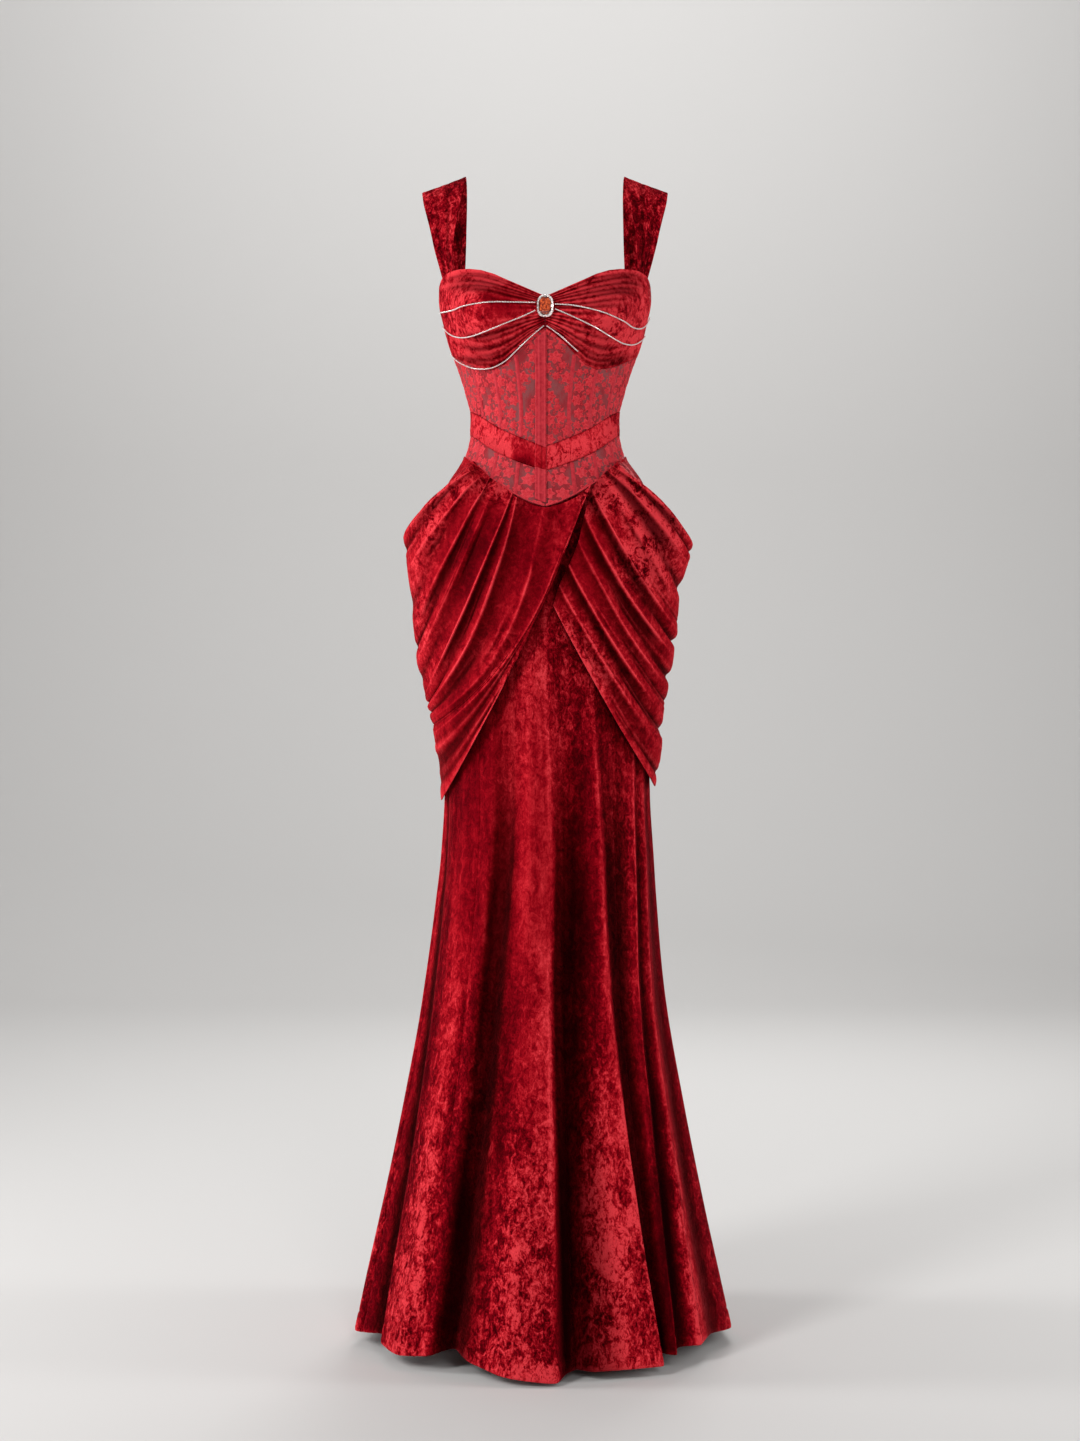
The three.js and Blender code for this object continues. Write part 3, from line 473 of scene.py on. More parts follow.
def net_material():
    """The lace's ground: fine six-sided net, half see-through."""
    m, nt, bsdf = material("lace_net")
    co = attribute_vector(nt, "cloth")
    cells = node(nt, "ShaderNodeTexVoronoi", Scale=560.0)
    cells.feature, cells.voronoi_dimensions = "DISTANCE_TO_EDGE", "2D"
    cells.inputs["Randomness"].default_value = .25
    nt.links.new(co, cells.inputs["Vector"])
    thread = ramp(nt, cells.outputs["Distance"], [(0, (1, 1, 1)), (.10, (1, 1, 1)), (.2, (0, 0, 0))])
    tone = noise(nt, stretched(nt, (1, 1, .5)), 55.0, 3.0, .6)
    ground = ramp(nt, tone, [(.38, (.26, .020, .027)), (.6, (.190, .085, .088))])
    colour = blend_colour(nt, maths(nt, "MULTIPLY", thread, .55), ground, (.50, .020, .032))
    nt.links.new(colour, bsdf.inputs["Base Color"])
    alpha = ramp(nt, thread, [(0, (.86, .86, .86)), (1, (1, 1, 1))])
    nt.links.new(alpha, bsdf.inputs["Alpha"])
    bsdf.inputs["Roughness"].default_value = .7
    bsdf.inputs["Specular IOR Level"].default_value = .12
    bump = node(nt, "ShaderNodeBump", Strength=.5, Distance=.0003)
    nt.links.new(thread, bump.inputs["Height"])
    nt.links.new(bump.outputs["Normal"], bsdf.inputs["Normal"])
    return m


def attribute_vector(nt, name):
    n = nt.nodes.new("ShaderNodeAttribute")
    n.attribute_type, n.attribute_name = "GEOMETRY", name
    return n.outputs["Vector"]


def motif_material(name, dark, light):
    """The lace's motifs: dense clothwork of lustrous thread, with a painted highlight along its raised outline."""
    m, nt, bsdf = material(name)
    v = stretched(nt, (1, 1, 1))
    raised_highlight = attribute(nt, "raised_highlight")
    tone = noise(nt, v, 240.0, 4.0, .65)
    colour = ramp(nt, tone, [(.36, dark), (.64, light)])
    # Painted highlight on the raised parts.
    colour = blend_colour(nt, maths(nt, "MULTIPLY", raised_highlight, .72), colour, (1.0, .085, .105))
    weave = noise(nt, v, 1400.0, 2.0, .7)
    colour = blend_colour(nt, maths(nt, "MULTIPLY_ADD", weave, .7, -.1, clamp=True), blend_colour(nt, .45, colour, (.16, .003, .010)), colour)
    nt.links.new(colour, bsdf.inputs["Base Color"])
    bsdf.inputs["Roughness"].default_value = .48
    bsdf.inputs["Specular IOR Level"].default_value = .12
    bsdf.inputs["Specular Tint"].default_value = (1.0, .40, .44, 1)
    bsdf.inputs["Sheen Weight"].default_value = .15
    bsdf.inputs["Sheen Roughness"].default_value = .4
    bsdf.inputs["Sheen Tint"].default_value = (1.0, .12, .15, 1)
    bump = node(nt, "ShaderNodeBump", Strength=.5, Distance=.0004)
    nt.links.new(weave, bump.inputs["Height"])
    nt.links.new(bump.outputs["Normal"], bsdf.inputs["Normal"])
    return m


def metal_material():
    m, nt, bsdf = material("silver_setting")
    v = stretched(nt, (1, 1, 1))
    tone = noise(nt, v, 900.0, 2.0, .6)
    nt.links.new(ramp(nt, tone, [(.3, (.80, .74, .72)), (.7, (.97, .93, .91))]), bsdf.inputs["Base Color"])
    nt.links.new(ramp(nt, tone, [(.3, (.34, .34, .34)), (.7, (.18, .18, .18))]), bsdf.inputs["Roughness"])
    bsdf.inputs["Metallic"].default_value = 1.0
    return m


def gem_material(name, colour, through, rough=.04):
    m, nt, bsdf = material(name)
    v = stretched(nt, (1, 1, 1))
    tone = noise(nt, v, 420.0, 2.0, .5)
    light, dark = colour
    nt.links.new(ramp(nt, tone, [(.42, dark), (.58, light)]), bsdf.inputs["Base Color"])
    bsdf.inputs["Roughness"].default_value = rough
    bsdf.inputs["Transmission Weight"].default_value = through
    bsdf.inputs["IOR"].default_value = 1.75
    bsdf.inputs["Coat Weight"].default_value = .6
    bsdf.inputs["Coat Roughness"].default_value = .03
    return m


def tape_material():
    m, nt, bsdf = material("zip_tape_cloth")
    v = stretched(nt, (1, 1, 1))
    tone = noise(nt, v, 300.0, 3.0, .6)
    nt.links.new(ramp(nt, tone, [(.3, (.15, .002, .008)), (.7, (.26, .006, .014))]), bsdf.inputs["Base Color"])
    bsdf.inputs["Roughness"].default_value = .7
    wave = node(nt, "ShaderNodeTexWave", Scale=420.0, Distortion=.0)
    wave.bands_direction = "Z"
    nt.links.new(v, wave.inputs["Vector"])
    bump = node(nt, "ShaderNodeBump", Strength=.35, Distance=.0003)
    nt.links.new(wave.outputs["Fac"], bump.inputs["Height"])
    nt.links.new(bump.outputs["Normal"], bsdf.inputs["Normal"])
    return m


VELVET = velvet_material("crushed_velvet")
DRAPE_VELVET = velvet_material("draped_velvet", patch=85.0, crush=.9, tall=.85, lines=.3)
NET = net_material()
MOTIF = motif_material("lace_motif", (.50, .010, .018), (1.0, .056, .070))
# Painted light: a lighter copy of the lace motifs for the basque.
BASQUE_MOTIF_PAINTED_LIGHTER = motif_material("basque_motif_painted_lighter", (.66, .016, .028), (1.0, .085, .105))
CASING = motif_material("boning_casing", (.40, .012, .023), (.70, .042, .058))
SILVER = metal_material()
CLEAR = gem_material("clear_stones", ((1.0, .96, .95), (.90, .80, .79)), .15)
AMBER = gem_material("amber_stone", ((1.0, .15, .03), (.24, .010, .003)), .2)
TAPE = tape_material()


def place(ob, slot, *nodes):
    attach(ob, "root")
    if nodes:
        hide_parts(*nodes)
    return ob


def seam_turn(down):
    return np.degrees(SEAM / 2 / np.minimum(form["half"](down), form["front"](down)))


def panel_grid(turn0, turn1, foot, top, nu, nv, surface):
    """Inner side of a panel, with its turn and down, and how far each point is from the nearest edge."""
    u, v = np.meshgrid(np.linspace(0, 1, nu + 1), np.linspace(0, 1, nv + 1))
    flat = mix(turn0, turn1, u)
    down = mix(foot(flat) - SEAM / 2, top(flat) + SEAM / 2, v)
    g = seam_turn(down)
    turn = mix(turn0 + g, turn1 - g, u)
    return surface(turn, down), turn, down, u, v


def edge_reach(p):
    """Distance of each grid point from the sides (first, last column) and ends (first, last row)."""
    w = np.linalg.norm(np.diff(p, axis=1), axis=2)
    across = np.concatenate([np.zeros((p.shape[0], 1)), np.cumsum(w, 1)], 1)
    h = np.linalg.norm(np.diff(p, axis=0), axis=2)
    along = np.concatenate([np.zeros((1, p.shape[1])), np.cumsum(h, 0)], 0)
    return across, across[:, -1:] - across, along, along[-1:] - along


# ---------- lace ----------
def petal(length, width, rings=(1.0, .86, .5), points=9, tip=.0):
    """One petal from its root at 0,0 along +x: points (x, y, height), faces, and the painted highlight of each point,
    strongest on its raised ring.
    """
    t = np.linspace(0, 1, points)
    half = width / 2 * np.sin(math.pi * t ** .8) ** .75
    x = length * t
    outline = np.concatenate([np.stack([x, half], 1), np.stack([x[1:-1], -half[1:-1]], 1)[::-1]])
    centre = np.array([length * .52, 0])
    n, pts, high, ring_highlight = len(outline), [], [], []
    for r, h, k in zip(rings, (0.05, .55, .22), (.4, 1.0, .15)):
        pts.append(centre + (outline - centre) * r)
        high.append(np.full(n, h))
        ring_highlight.append(np.full(n, k))
    pts.append(centre[None])
    high.append(np.array([.35]))
    ring_highlight.append(np.array([.3]))
    p = np.column_stack([np.concatenate(pts), np.concatenate(high)])
    tri = []
    for ring in range(len(rings) - 1):
        for i in range(n):
            j = (i + 1) % n
            a, b, c, d = ring * n + i, ring * n + j, (ring + 1) * n + j, (ring + 1) * n + i
            tri += [(a, d, c), (a, c, b)]
    last = (len(rings) - 1) * n
    for i in range(n):
        tri.append((last + i, 3 * n, last + (i + 1) % n))
    return p, np.array(tri), np.concatenate(ring_highlight)


def gathered_shapes(parts):
    """Joins (points, faces, painted highlight) parts that are each placed by angle, scale and offset."""
    ps, fs, rs, at = [], [], [], 0
    for (p, f, r), angle, scale, dx, dy, dz in parts:
        c, s = math.cos(angle), math.sin(angle)
        q = p.copy()
        q[:, 0], q[:, 1] = scale * (p[:, 0] * c - p[:, 1] * s) + dx, scale * (p[:, 0] * s + p[:, 1] * c) + dy
        q[:, 2] += dz
        ps.append(q)
        fs.append(f + at)
        rs.append(r)
        at += len(p)
    return np.concatenate(ps), np.concatenate(fs), np.concatenate(rs)


def flower(petals, inner):
    outer = [(petal(1.0, .92 * 2 * math.pi / petals * .72, points=6), 2 * math.pi * i / petals, 1.0, 0, 0, 0) for i in range(petals)]
    centre = [(petal(.46, .34, points=5), 2 * math.pi * (i + .5) / inner, 1.0, 0, 0, .30) for i in range(inner)]
    return gathered_shapes(outer + centre)


def leaf_spray(n):
    parts = []
    for i in range(n):
        side = 1 if i % 2 else -1
        parts.append((petal(.62, .26, points=5), side * .75 + .12 * side * i, 1.0, .28 * i - .35, 0, 0))
    parts.append((petal(.8, .26, points=5), 0.0, 1.0, .28 * n - .5, 0, 0))
    parts.append((petal(1.25, .07, points=5), 0.0, 1.0, -.6, 0, .05))
    return gathered_shapes(parts)


SHAPES = {
    "rose": flower(6, 5), "daisy": flower(8, 5), "bloom": flower(5, 4),
    "spray": leaf_spray(4), "leaf": gathered_shapes([(petal(2.0, .85, points=7), 0, 1, -1, 0, 0)]),
    "bud": gathered_shapes([(petal(1.4, .7, points=5), 0, 1, -.6, 0, 0), (petal(1.0, .4, points=5), .6, 1, -.6, 0, .2),
                            (petal(1.0, .4, points=5), -.6, 1, -.6, 0, .2)]),
}


def scatter(width, height, seed, open_share, larger=1.0):
    """Lace layout on a flat piece: big flowers in wandering columns, then sprays, leaves and buds in the gaps."""
    r = np.random.default_rng(seed)
    placed = []

    def fits(x, y, rad, gap):
        return all((x - a) ** 2 + (y - b) ** 2 > ((rad + c) * gap) ** 2 for a, b, c, *_ in placed)
    for kind, low, high, tries, gap in (("rose", 7.4, 9.2, 900, .90), ("daisy", 5.2, 6.6, 1200, .88), ("bloom", 3.7, 4.6, 2200, .84),
                                        ("spray", 4.6, 6.0, 2600, .72), ("leaf", 2.5, 3.3, 4200, .80), ("bud", 1.7, 2.3, 4800, .84)):
        for _ in range(int(tries * width * height / 16000 / larger ** 2)):
            x, y, rad = r.uniform(0, width), r.uniform(-2, height + 2), r.uniform(low, high) * larger
            # Open streaks of bare net, taller than wide.
            bare = math.sin(x / 9.5 + 1.7 * math.sin(y / 23.0 + seed)) * math.sin(y / 19.0 + x / 31.0 + seed * 1.3)
            if bare > 1 - open_share:
                continue
            if fits(x, y, rad, gap):
                placed.append((x, y, rad, kind, r.uniform(0, 2 * math.pi) if kind in ("rose", "daisy", "bloom", "bud") else
                               r.normal(math.pi / 2, .55) + (math.pi if r.random() < .3 else 0)))
    return placed


def lace_motifs(name, turn0, turn1, foot, top, surface, lift, seed, mirror=False, open_share=.42, cloth=None):
    """Motifs lying on a lace panel, cut off at its seams."""
    mid = (turn0 + turn1) / 2
    down_mid = float((foot(np.array(mid)) + top(np.array(mid))) / 2)
    edge = surface(np.linspace(turn0, turn1, 60), np.full(60, down_mid))
    width = float(np.linalg.norm(np.diff(edge, axis=0), axis=1).sum())
    low = float(max(foot(np.linspace(turn0, turn1, 20))))
    high = float(min(top(np.linspace(turn0, turn1, 20))))
    placed = scatter(width, low - high, seed, open_share, 1.36 if abs(mid) > SIDE else 1.0)
    pts, faces, raised_highlight, at = [], [], [], 0
    for x, y, rad, kind, angle in placed:
        if mirror:
            x, angle = width - x, math.pi - angle
        p, f, k = SHAPES[kind]
        c, s = math.cos(angle), math.sin(angle)
        q = np.column_stack([x + rad * (p[:, 0] * c - p[:, 1] * s), y + rad * (p[:, 0] * s + p[:, 1] * c), p[:, 2]])
        pts.append(q)
        faces.append(f + at)
        raised_highlight.append(k)
        at += len(p)
    q, f, k = np.concatenate(pts), np.concatenate(faces), np.concatenate(raised_highlight)
    turn_raw = turn0 + q[:, 0] / width * (turn1 - turn0)
    down_raw = low - q[:, 1]
    turn = np.clip(turn_raw, min(turn0, turn1) + .25, max(turn0, turn1) - .25)
    lo, hi = top(turn) + .6, foot(turn) - .6
    down = np.clip(down_raw, lo, hi)
    e = .05
    base = surface(turn, down)
    du = surface(turn + e, down) - surface(turn - e, down)
    dv = surface(turn, down - e) - surface(turn, down + e)
    n = unit(np.cross(du, dv))
    p = base + n * (lift + q[:, 2:3] * .9)
    # Drop what the seams cut away whole.
    off = (np.abs(turn - turn_raw) > 1e-6) | (np.abs(down - down_raw) > 1e-6)
    keep = ~off[f].all(1)
    f = f[keep]
    e1, e2 = p[f[:, 1]] - p[f[:, 0]], p[f[:, 2]] - p[f[:, 0]]
    nn = np.cross(e1, e2)
    f = f[np.linalg.norm(nn, axis=1) > .004]
    e1, e2 = p[f[:, 1]] - p[f[:, 0]], p[f[:, 2]] - p[f[:, 0]]
    away = (np.cross(e1, e2) * n[f[:, 0]]).sum(1) < 0
    f[away] = f[away][:, ::-1]
    used = np.unique(f)
    back = np.zeros(len(p), int)
    back[used] = np.arange(len(used))
    ob = mesh_object(name, p[used], [back[f]], [cloth or MOTIF], {"raised_highlight": k[used]})
    return place(ob, "lace")


def lace_panel(node_name, turn0, turn1, foot, top, surface, nu, nv, bones, wall=WALL):
    """The net, with the seams pressed in."""
    p, turn, down, u, v = panel_grid(turn0, turn1, foot, top, nu, nv, surface)
    n = normals(p)
    left, right, low, high = edge_reach(p)
    side = np.minimum(left, right)
    relief = -.5 * np.exp(-(side / 2.2) ** 2) - .5 * np.exp(-(np.minimum(low, high) / 2.5) ** 2)
    relief += .30 * ripple(p[..., 0] / 9, p[..., 2] / 22, 5, 2)
    outer = p + n * (wall - .75 + relief)[..., None]
    cloth = np.stack([left * MM, low * MM, np.zeros_like(left)], -1)
    net = shell("net_" + node_name, outer, .6, [NET], attributes={"cloth": cloth})
    place(net, "lace", node_name)
    return net


def casing(name, turn_of, down0, down1, surface, half_width, lift, height, material=None, nv=80, slot="lace"):
    """A boning casing: a narrow tape sewn along its edges over a bone, from one level to another."""
    cols = np.array([-1, -.96, -.78, -.55, -.3, 0, .3, .55, .78, .96, 1.0])
    rise = np.array([0, .32, .30, .72, .95, 1.0, .95, .72, .30, .32, 0])
    s, t = np.meshgrid(cols, np.linspace(0, 1, nv))
    down = mix(down0, down1, t)
    centre = turn_of(down)
    e = .05
    base = surface(centre, down)
    per = np.linalg.norm(surface(centre + e, down) - surface(centre - e, down), axis=-1) / (2 * e)
    turn = centre + s * half_width / per
    p = surface(turn, down)
    du = surface(turn + e, down) - surface(turn - e, down)
    dv = surface(turn, down - e) - surface(turn, down + e)
    n = unit(np.cross(du, dv))
    h = np.broadcast_to(rise, s.shape) * height + .06 * ripple(down / 3, s, 9, 2)
    outer = p + n * (lift + h)[..., None]
    return outer[::-1]


# ---------- the bodice ----------
def bust_panels():
    hands = (("left", 1), ("right", -1))
    for hand, s in hands:
        span = (lambda a, b: (a, b)) if s > 0 else (lambda a, b: (-b, -a))
        for part, a, b, foot, top, surface, nu, nv, seed, openness in (
                ("bodice_front", 0, PRINCESS, band_top, cup_foot, on_bust, 24, 42, 3, .50),
                ("bodice_side", PRINCESS, SIDE, band_top, cup_foot, on_bust, 34, 38, 4, .40),
                ("basque_front", 0, SIDE, basque_foot, band_foot, on_form, 54, 22, 6, .42),
                ("bodice_back", SIDE, 180 - BACK_ZIP, band_top, back_neck, on_form, 54, 52, 8, .42),
                ("basque_back", SIDE, 180 - BACK_ZIP, basque_foot, band_foot, on_form, 54, 22, 9, .42)):
            t0, t1 = span(a, b)
            name = f"{part}_{hand}"
            net = lace_panel(name, t0, t1, foot, top, surface, nu, nv, ())
            motifs = lace_motifs("motifs_" + name, t0, t1, foot, top, surface, WALL - .72, seed, mirror=s < 0, open_share=openness,
                                 cloth=BASQUE_MOTIF_PAINTED_LIGHTER if part == "basque_front" else MOTIF)
            tapes = [motifs]
            for k, turn in enumerate({"bodice_front": (18.5,), "bodice_side": (36.6, 57), "basque_front": (18.5, 36.6, 57),
                                      "bodice_back": (112, 140, 168), "basque_back": (112, 140, 168)}[part]):
                at = s * turn
                d0, d1 = float(top(np.array(at))) + 1.2, float(foot(np.array(at))) - 1.2
                grid = casing("", lambda d, at=at: np.full_like(d, at), d0, d1, surface, 2.7, WALL - .6, .9,
                              nv=max(10, int((d1 - d0) / 3.2)))
                # The casing gets an even painted highlight.
                tape = shell(f"casing_{name}_{k + 1}", grid, .35, [CASING], attributes={"raised_highlight": np.full(grid.shape[:2], .35)})
                place(tape, "lace")
                tapes.append(tape)
            yield name, net, tapes, (t0, t1)


LACE = list(bust_panels())


def edging(name, t0, t1, line, surface, up):
    """A narrow corded edge along the foot of a lace piece, with a painted highlight along its raised cord."""
    u, v = np.meshgrid(np.linspace(t0 + .25, t1 - .25, 120), np.array([0, .12, .35, .6, .85, 1.0]))
    rise = np.array([-.3, .55, .9, .8, .35, -.3])
    down = line(u) - up - 2.3 * v
    p = surface(u, down)
    scallop = .18 * np.abs(np.sin(np.radians(u) * 90))
    outer = p + normals(p) * (WALL - .55 + rise[:, None] + scallop * v)[..., None]
    return place(shell("edge_" + name, outer, .3, [CASING], attributes={"raised_highlight": np.broadcast_to(np.array([.4, .9, 1, 1, .8, .3])[:, None], u.shape)}), "lace")


for name, net, parts, (t0, t1) in LACE:
    if name.startswith("basque"):
        parts.append(edging(name, t0, t1, basque_foot, on_form, .7))


# Centre front placket: a lace tape with a bone at each side of the seam, velvet where it crosses the band.
def placket():
    cols = np.array([0, .02, .06, .14, .24, .34, .44, .52, .56, .60, .64, .72, .82, .90, .97, .99, 1.0])
    rise = np.array([-.6, .1, .25, .28, .62, .70, .60, .28, .12, .05, .12, .40, .48, .36, .22, .1, -.6])
    u, v = np.meshgrid(cols, np.linspace(0, 1, 110))
    edge = mix(-7.6, .9, u)
    down = mix(basque_foot(edge) - 6, cup_foot(edge) + 5, v)
    turn = edge * (72 / form["front"](down))
    p = on_bust(turn, down)
    p[..., 1] -= BAND_WALL + 1.0 + .75 + np.broadcast_to(rise, u.shape) * .9 + .08 * ripple(down / 3, u * 2, 21, 2)
    return p


# Painted highlight on the placket's raised lines and rolled edges.
PLACKET_HIGHLIGHT = np.array([.1, .8, .3, .1, .2, .9, .2, .1, .5, 0, .5, .1, .9, .2, .3, .8, .1])
PLACKET = shell("placket_front", placket(), .7, [CASING], attributes={"raised_highlight": np.tile(PLACKET_HIGHLIGHT, (110, 1))})
place(PLACKET, "lace", "front_placket")


def placket_band():
    """Smooth velvet laid over the placket where it crosses the waistband, with painted shade at its ends and along one
    line.
    """
    cols = np.array([0, .05, .12, .24, .34, .44, .52, .60, .72, .82, .92, 1.0])
    rise = np.array([.1, .3, .32, .62, .68, .60, .28, .1, .36, .44, .34, .1])
    u, v = np.meshgrid(mix(.03, .97, cols), np.linspace(0, 1, 22))
    edge = mix(-7.6, .9, u)
    down = mix(band_foot(edge) - .2, band_top(edge) + .2, v)
    turn = edge * (72 / form["front"](down))
    p = on_bust(turn, down)
    ends = np.minimum(v, 1 - v)
    p[..., 1] -= BAND_WALL + 1.0 + 1.25 + rise[None] * .9 - .6 * np.exp(-(ends / .05) ** 2)
    return p, .5 * np.exp(-(ends / .05) ** 2) + .35 * np.exp(-((u - .58) / .06) ** 2)


strip, strip_painted_shade = placket_band()
# Painted shade from the strip, and its colour lifted as painted highlight.
place(shell("placket_velvet", strip, .45, [VELVET], attributes={"nap_and_painted_light": np.full(strip.shape[:2], .9), "painted_shade": strip_painted_shade,
                                                               "crush": np.full(strip.shape[:2], .05)}), "velvet")


def waistband(name, t0, t1, nu):
    p, turn, down, u, v = panel_grid(t0, t1, band_foot, band_top, nu, 18, on_form)
    n = normals(p)
    left, right, low, high = edge_reach(p)
    ends = np.minimum(low, high)
    relief = .55 * (1 - np.exp(-(ends / 2.6) ** 2)) - .45 * np.exp(-((ends - 4.2) / .8) ** 2)
    relief += .22 * ripple(p[..., 0] / 12, p[..., 2] / 16, 31, 2)
    relief -= .4 * np.exp(-(np.minimum(left, right) / 1.6) ** 2)
    outer = p + n * (BAND_WALL - .1 + relief)[..., None]
    # Painted shade along the band's edges and in the groove beside them; the nap's bias is lifted with painted
    # highlight.
    painted_shade = .55 * np.exp(-(ends / 1.3) ** 2) + .3 * np.exp(-((ends - 4.2) / .7) ** 2)
    nap_and_painted_light = nap_and_painted_light_of(outer)
    ob = shell("band_" + name, outer, 1.6, [VELVET], attributes={"nap_and_painted_light": nap_and_painted_light * 1.2 + 1.6, "painted_shade": painted_shade * .6, "crush": np.clip(.3 + .6 * nap_and_painted_light, .02, 1)})
    return place(ob, "velvet", name)


BANDS = {}
for hand, s in (("left", 1), ("right", -1)):
    for part, a, b, nu in (("waistband_front", 0, SIDE, 84), ("waistband_back", SIDE, 180 - BACK_ZIP, 84)):
        t0, t1 = (a, b) if s > 0 else (-b, -a)
        BANDS[f"{part}_{hand}"] = waistband(f"{part}_{hand}", t0, t1, nu)


def gathered_cup(hand, s):
    a, b = CLEAVAGE, SIDE
    t0, t1 = (a, b) if s > 0 else (-b, -a)
    nu, nv = 112, 120
    p, turn, down, u, v = panel_grid(t0, t1, cup_foot, cup_top, nu, nv, on_bust)
    t = np.abs(turn)
    up = (cup_foot(t) - down) / (cup_foot(t) - cup_top(t))
    run = t / SIDE
    relief, painted_shade, crest_highlight = np.zeros_like(t), np.zeros_like(t), np.zeros_like(t)
    g = GATHERS[hand]
    wander = .012 * ripple(run * 9, up * 7, 41 + s, 2) * np.clip(run * 3, 0, 1)
    for i in range(len(g["at"])):
        # The gathers crowd together at the centre and open out.
        q = (up - g["at"][i] - wander - .012 * math.sin(7.3 * i) * np.sin(run * 5 + i)) / (g["wide"][i] * (1 + run * 1.1))
        fade = ease((g["run"][i] - run) / .34) * ease(run / .02 + .55)
        groove = np.exp(-np.abs(q) ** 1.5)
        relief -= 1.35 * g["depth"][i] * groove * fade
        # Painted shade in each groove, and a painted highlight along the crest beside it.
        painted_shade += groove * fade * .72 * min(1, g["depth"][i] / 1.7)
        crest_highlight += np.exp(-np.abs((q - 1.5) / .8) ** 2) * fade
    relief += .9 * ripple(run * 16, up * 11, 47 + s, 3) * np.clip(run * 2, 0, 1) * .5
    relief += .8
    left, right, low, high = edge_reach(p)
    # The neck edge is folded over and the foot is caught into the seam.
    relief -= 1.2 * np.exp(-(low / 2.6) ** 2) + .5 * np.exp(-(high / 1.2) ** 2)
    relief -= .45 * np.exp(-((high - 5.5) / 1.2) ** 2)
    out = unit(p * np.array([1, 1, 0]))
    outer = p + normals(p) * (WALL - .2) + out * relief[..., None] * .8
    own = nap_and_painted_light_of(outer)
    # The nap's bias, with painted highlight brighter towards the side and on the crests.
    nap_and_painted_light = own + 1.05 + .3 * run + 1.1 * np.clip(crest_highlight, 0, 1)
    crush = np.clip(.24 + .25 * run + .45 * own, .03, 1)
    ob = shell("gathered_cup_" + hand, outer, 1.5, [DRAPE_VELVET], attributes={"nap_and_painted_light": nap_and_painted_light, "painted_shade": np.clip(painted_shade, 0, 1), "crush": crush})
    return place(ob, "velvet", "cup_" + hand)


CUPS = {hand: gathered_cup(hand, s) for hand, s in (("left", 1), ("right", -1))}


# ---------- straps ----------
def strap(hand, s):
    rows = {k: v.copy() for k, v in STRAP.items()}
    for i, (tin, tout), edge in ((0, (61.5, 78), cup_top), (-1, (128, 111), back_neck)):
        for k, turn in (("in", tin), ("out", tout)):
            down = float(edge(np.array(float(turn)))) - 1.6
            p = on_form(np.array(float(turn)), np.array(down))
            rows[k + "X"][i], rows[k + "Y"][i], rows[k + "Down"][i] = p[0], p[1], down
    c = curves(rows, "share")
    u, v = np.meshgrid(np.linspace(0, 1, 25), np.linspace(0, 1, 120))
    p = np.stack([s * mix(c["inX"](v), c["outX"](v), u), mix(c["inY"](v), c["outY"](v), u), -mix(c["inDown"](v), c["outDown"](v), u)], -1)
    n = normals(p) * s
    near = np.minimum(v, 1 - v)
    # Two lengthwise pleats that close up towards the cup and the back.
    relief, painted_shade = np.zeros_like(u), np.zeros_like(u)
    for at, depth, wide in ((.36, 1.5, .07), (.66, 1.1, .06), (.16, .5, .05)):
        q = (u - at - .05 * np.sin(v * 9 + at * 9)) / wide
        k = np.clip(1.15 - near * 1.5, .3, 1)
        relief -= depth * np.exp(-q * q) * k
        # Painted shade in the pleats.
        painted_shade += .6 * np.exp(-q * q) * k * depth / 1.5
    relief += .35 * ripple(u * 5, v * 26, 61 + s, 2)
    edge = np.minimum(u, 1 - u)
    relief += .35 * np.exp(-((edge - .03) / .03) ** 2)
    outer = p + n * (STRAP_WALL + relief * .8)[..., None]
    # The nap's bias, lifted evenly as painted highlight.
    ob = shell("shoulder_strap_" + hand, outer, 1.3, [VELVET], flip=s < 0, attributes={"nap_and_painted_light": nap_and_painted_light_of(outer) + .4, "painted_shade": np.clip(painted_shade * 1.15, 0, 1), "crush": np.full_like(painted_shade, .5)})
    return place(ob, "velvet", "strap_" + hand)


STRAPS = {hand: strap(hand, s) for hand, s in (("left", 1), ("right", -1))}


# ---------- skirt ----------
def on_skirt(turn, down):
    t = np.clip((down - FLUTE_START) / (HEM - FLUTE_START), 0, 1)
    g = t ** FLUTE_GROWTH
    wrapped = (turn + 540) % 360 - 180
    at = turn + (flute_turn(wrapped) - wrapped) * t
    early = .13 * np.exp(-((t - .22) / .17) ** 2)
    rel = flute_out(wrapped)
    return on_form(at, down, rel * (g + early)), rel * (g + early)


def under_edge(p):
    """How near a point of the front lies below the drapes' lower edges, 0 to 1, for the painted shadow the drapes cast
    on the skirt.
    """
    x, d = p[..., 0], -p[..., 2]
    right = np.interp(x, [-137, -115, -86, -40, 0, 30, 58], [808, 772, 723, 635, 551, 480, 407])
    left = np.interp(x, [10, 42, 74, 106, 139], [560, 622, 680, 735, 790])
    shade = np.where(x < 58, np.exp(-np.clip(d - right, 0, None) / 14), 0) + np.where(x > 10, np.exp(-np.clip(d - left, 0, None) / 14), 0)
    return np.clip(shade, 0, 1) * (p[..., 1] < 0)


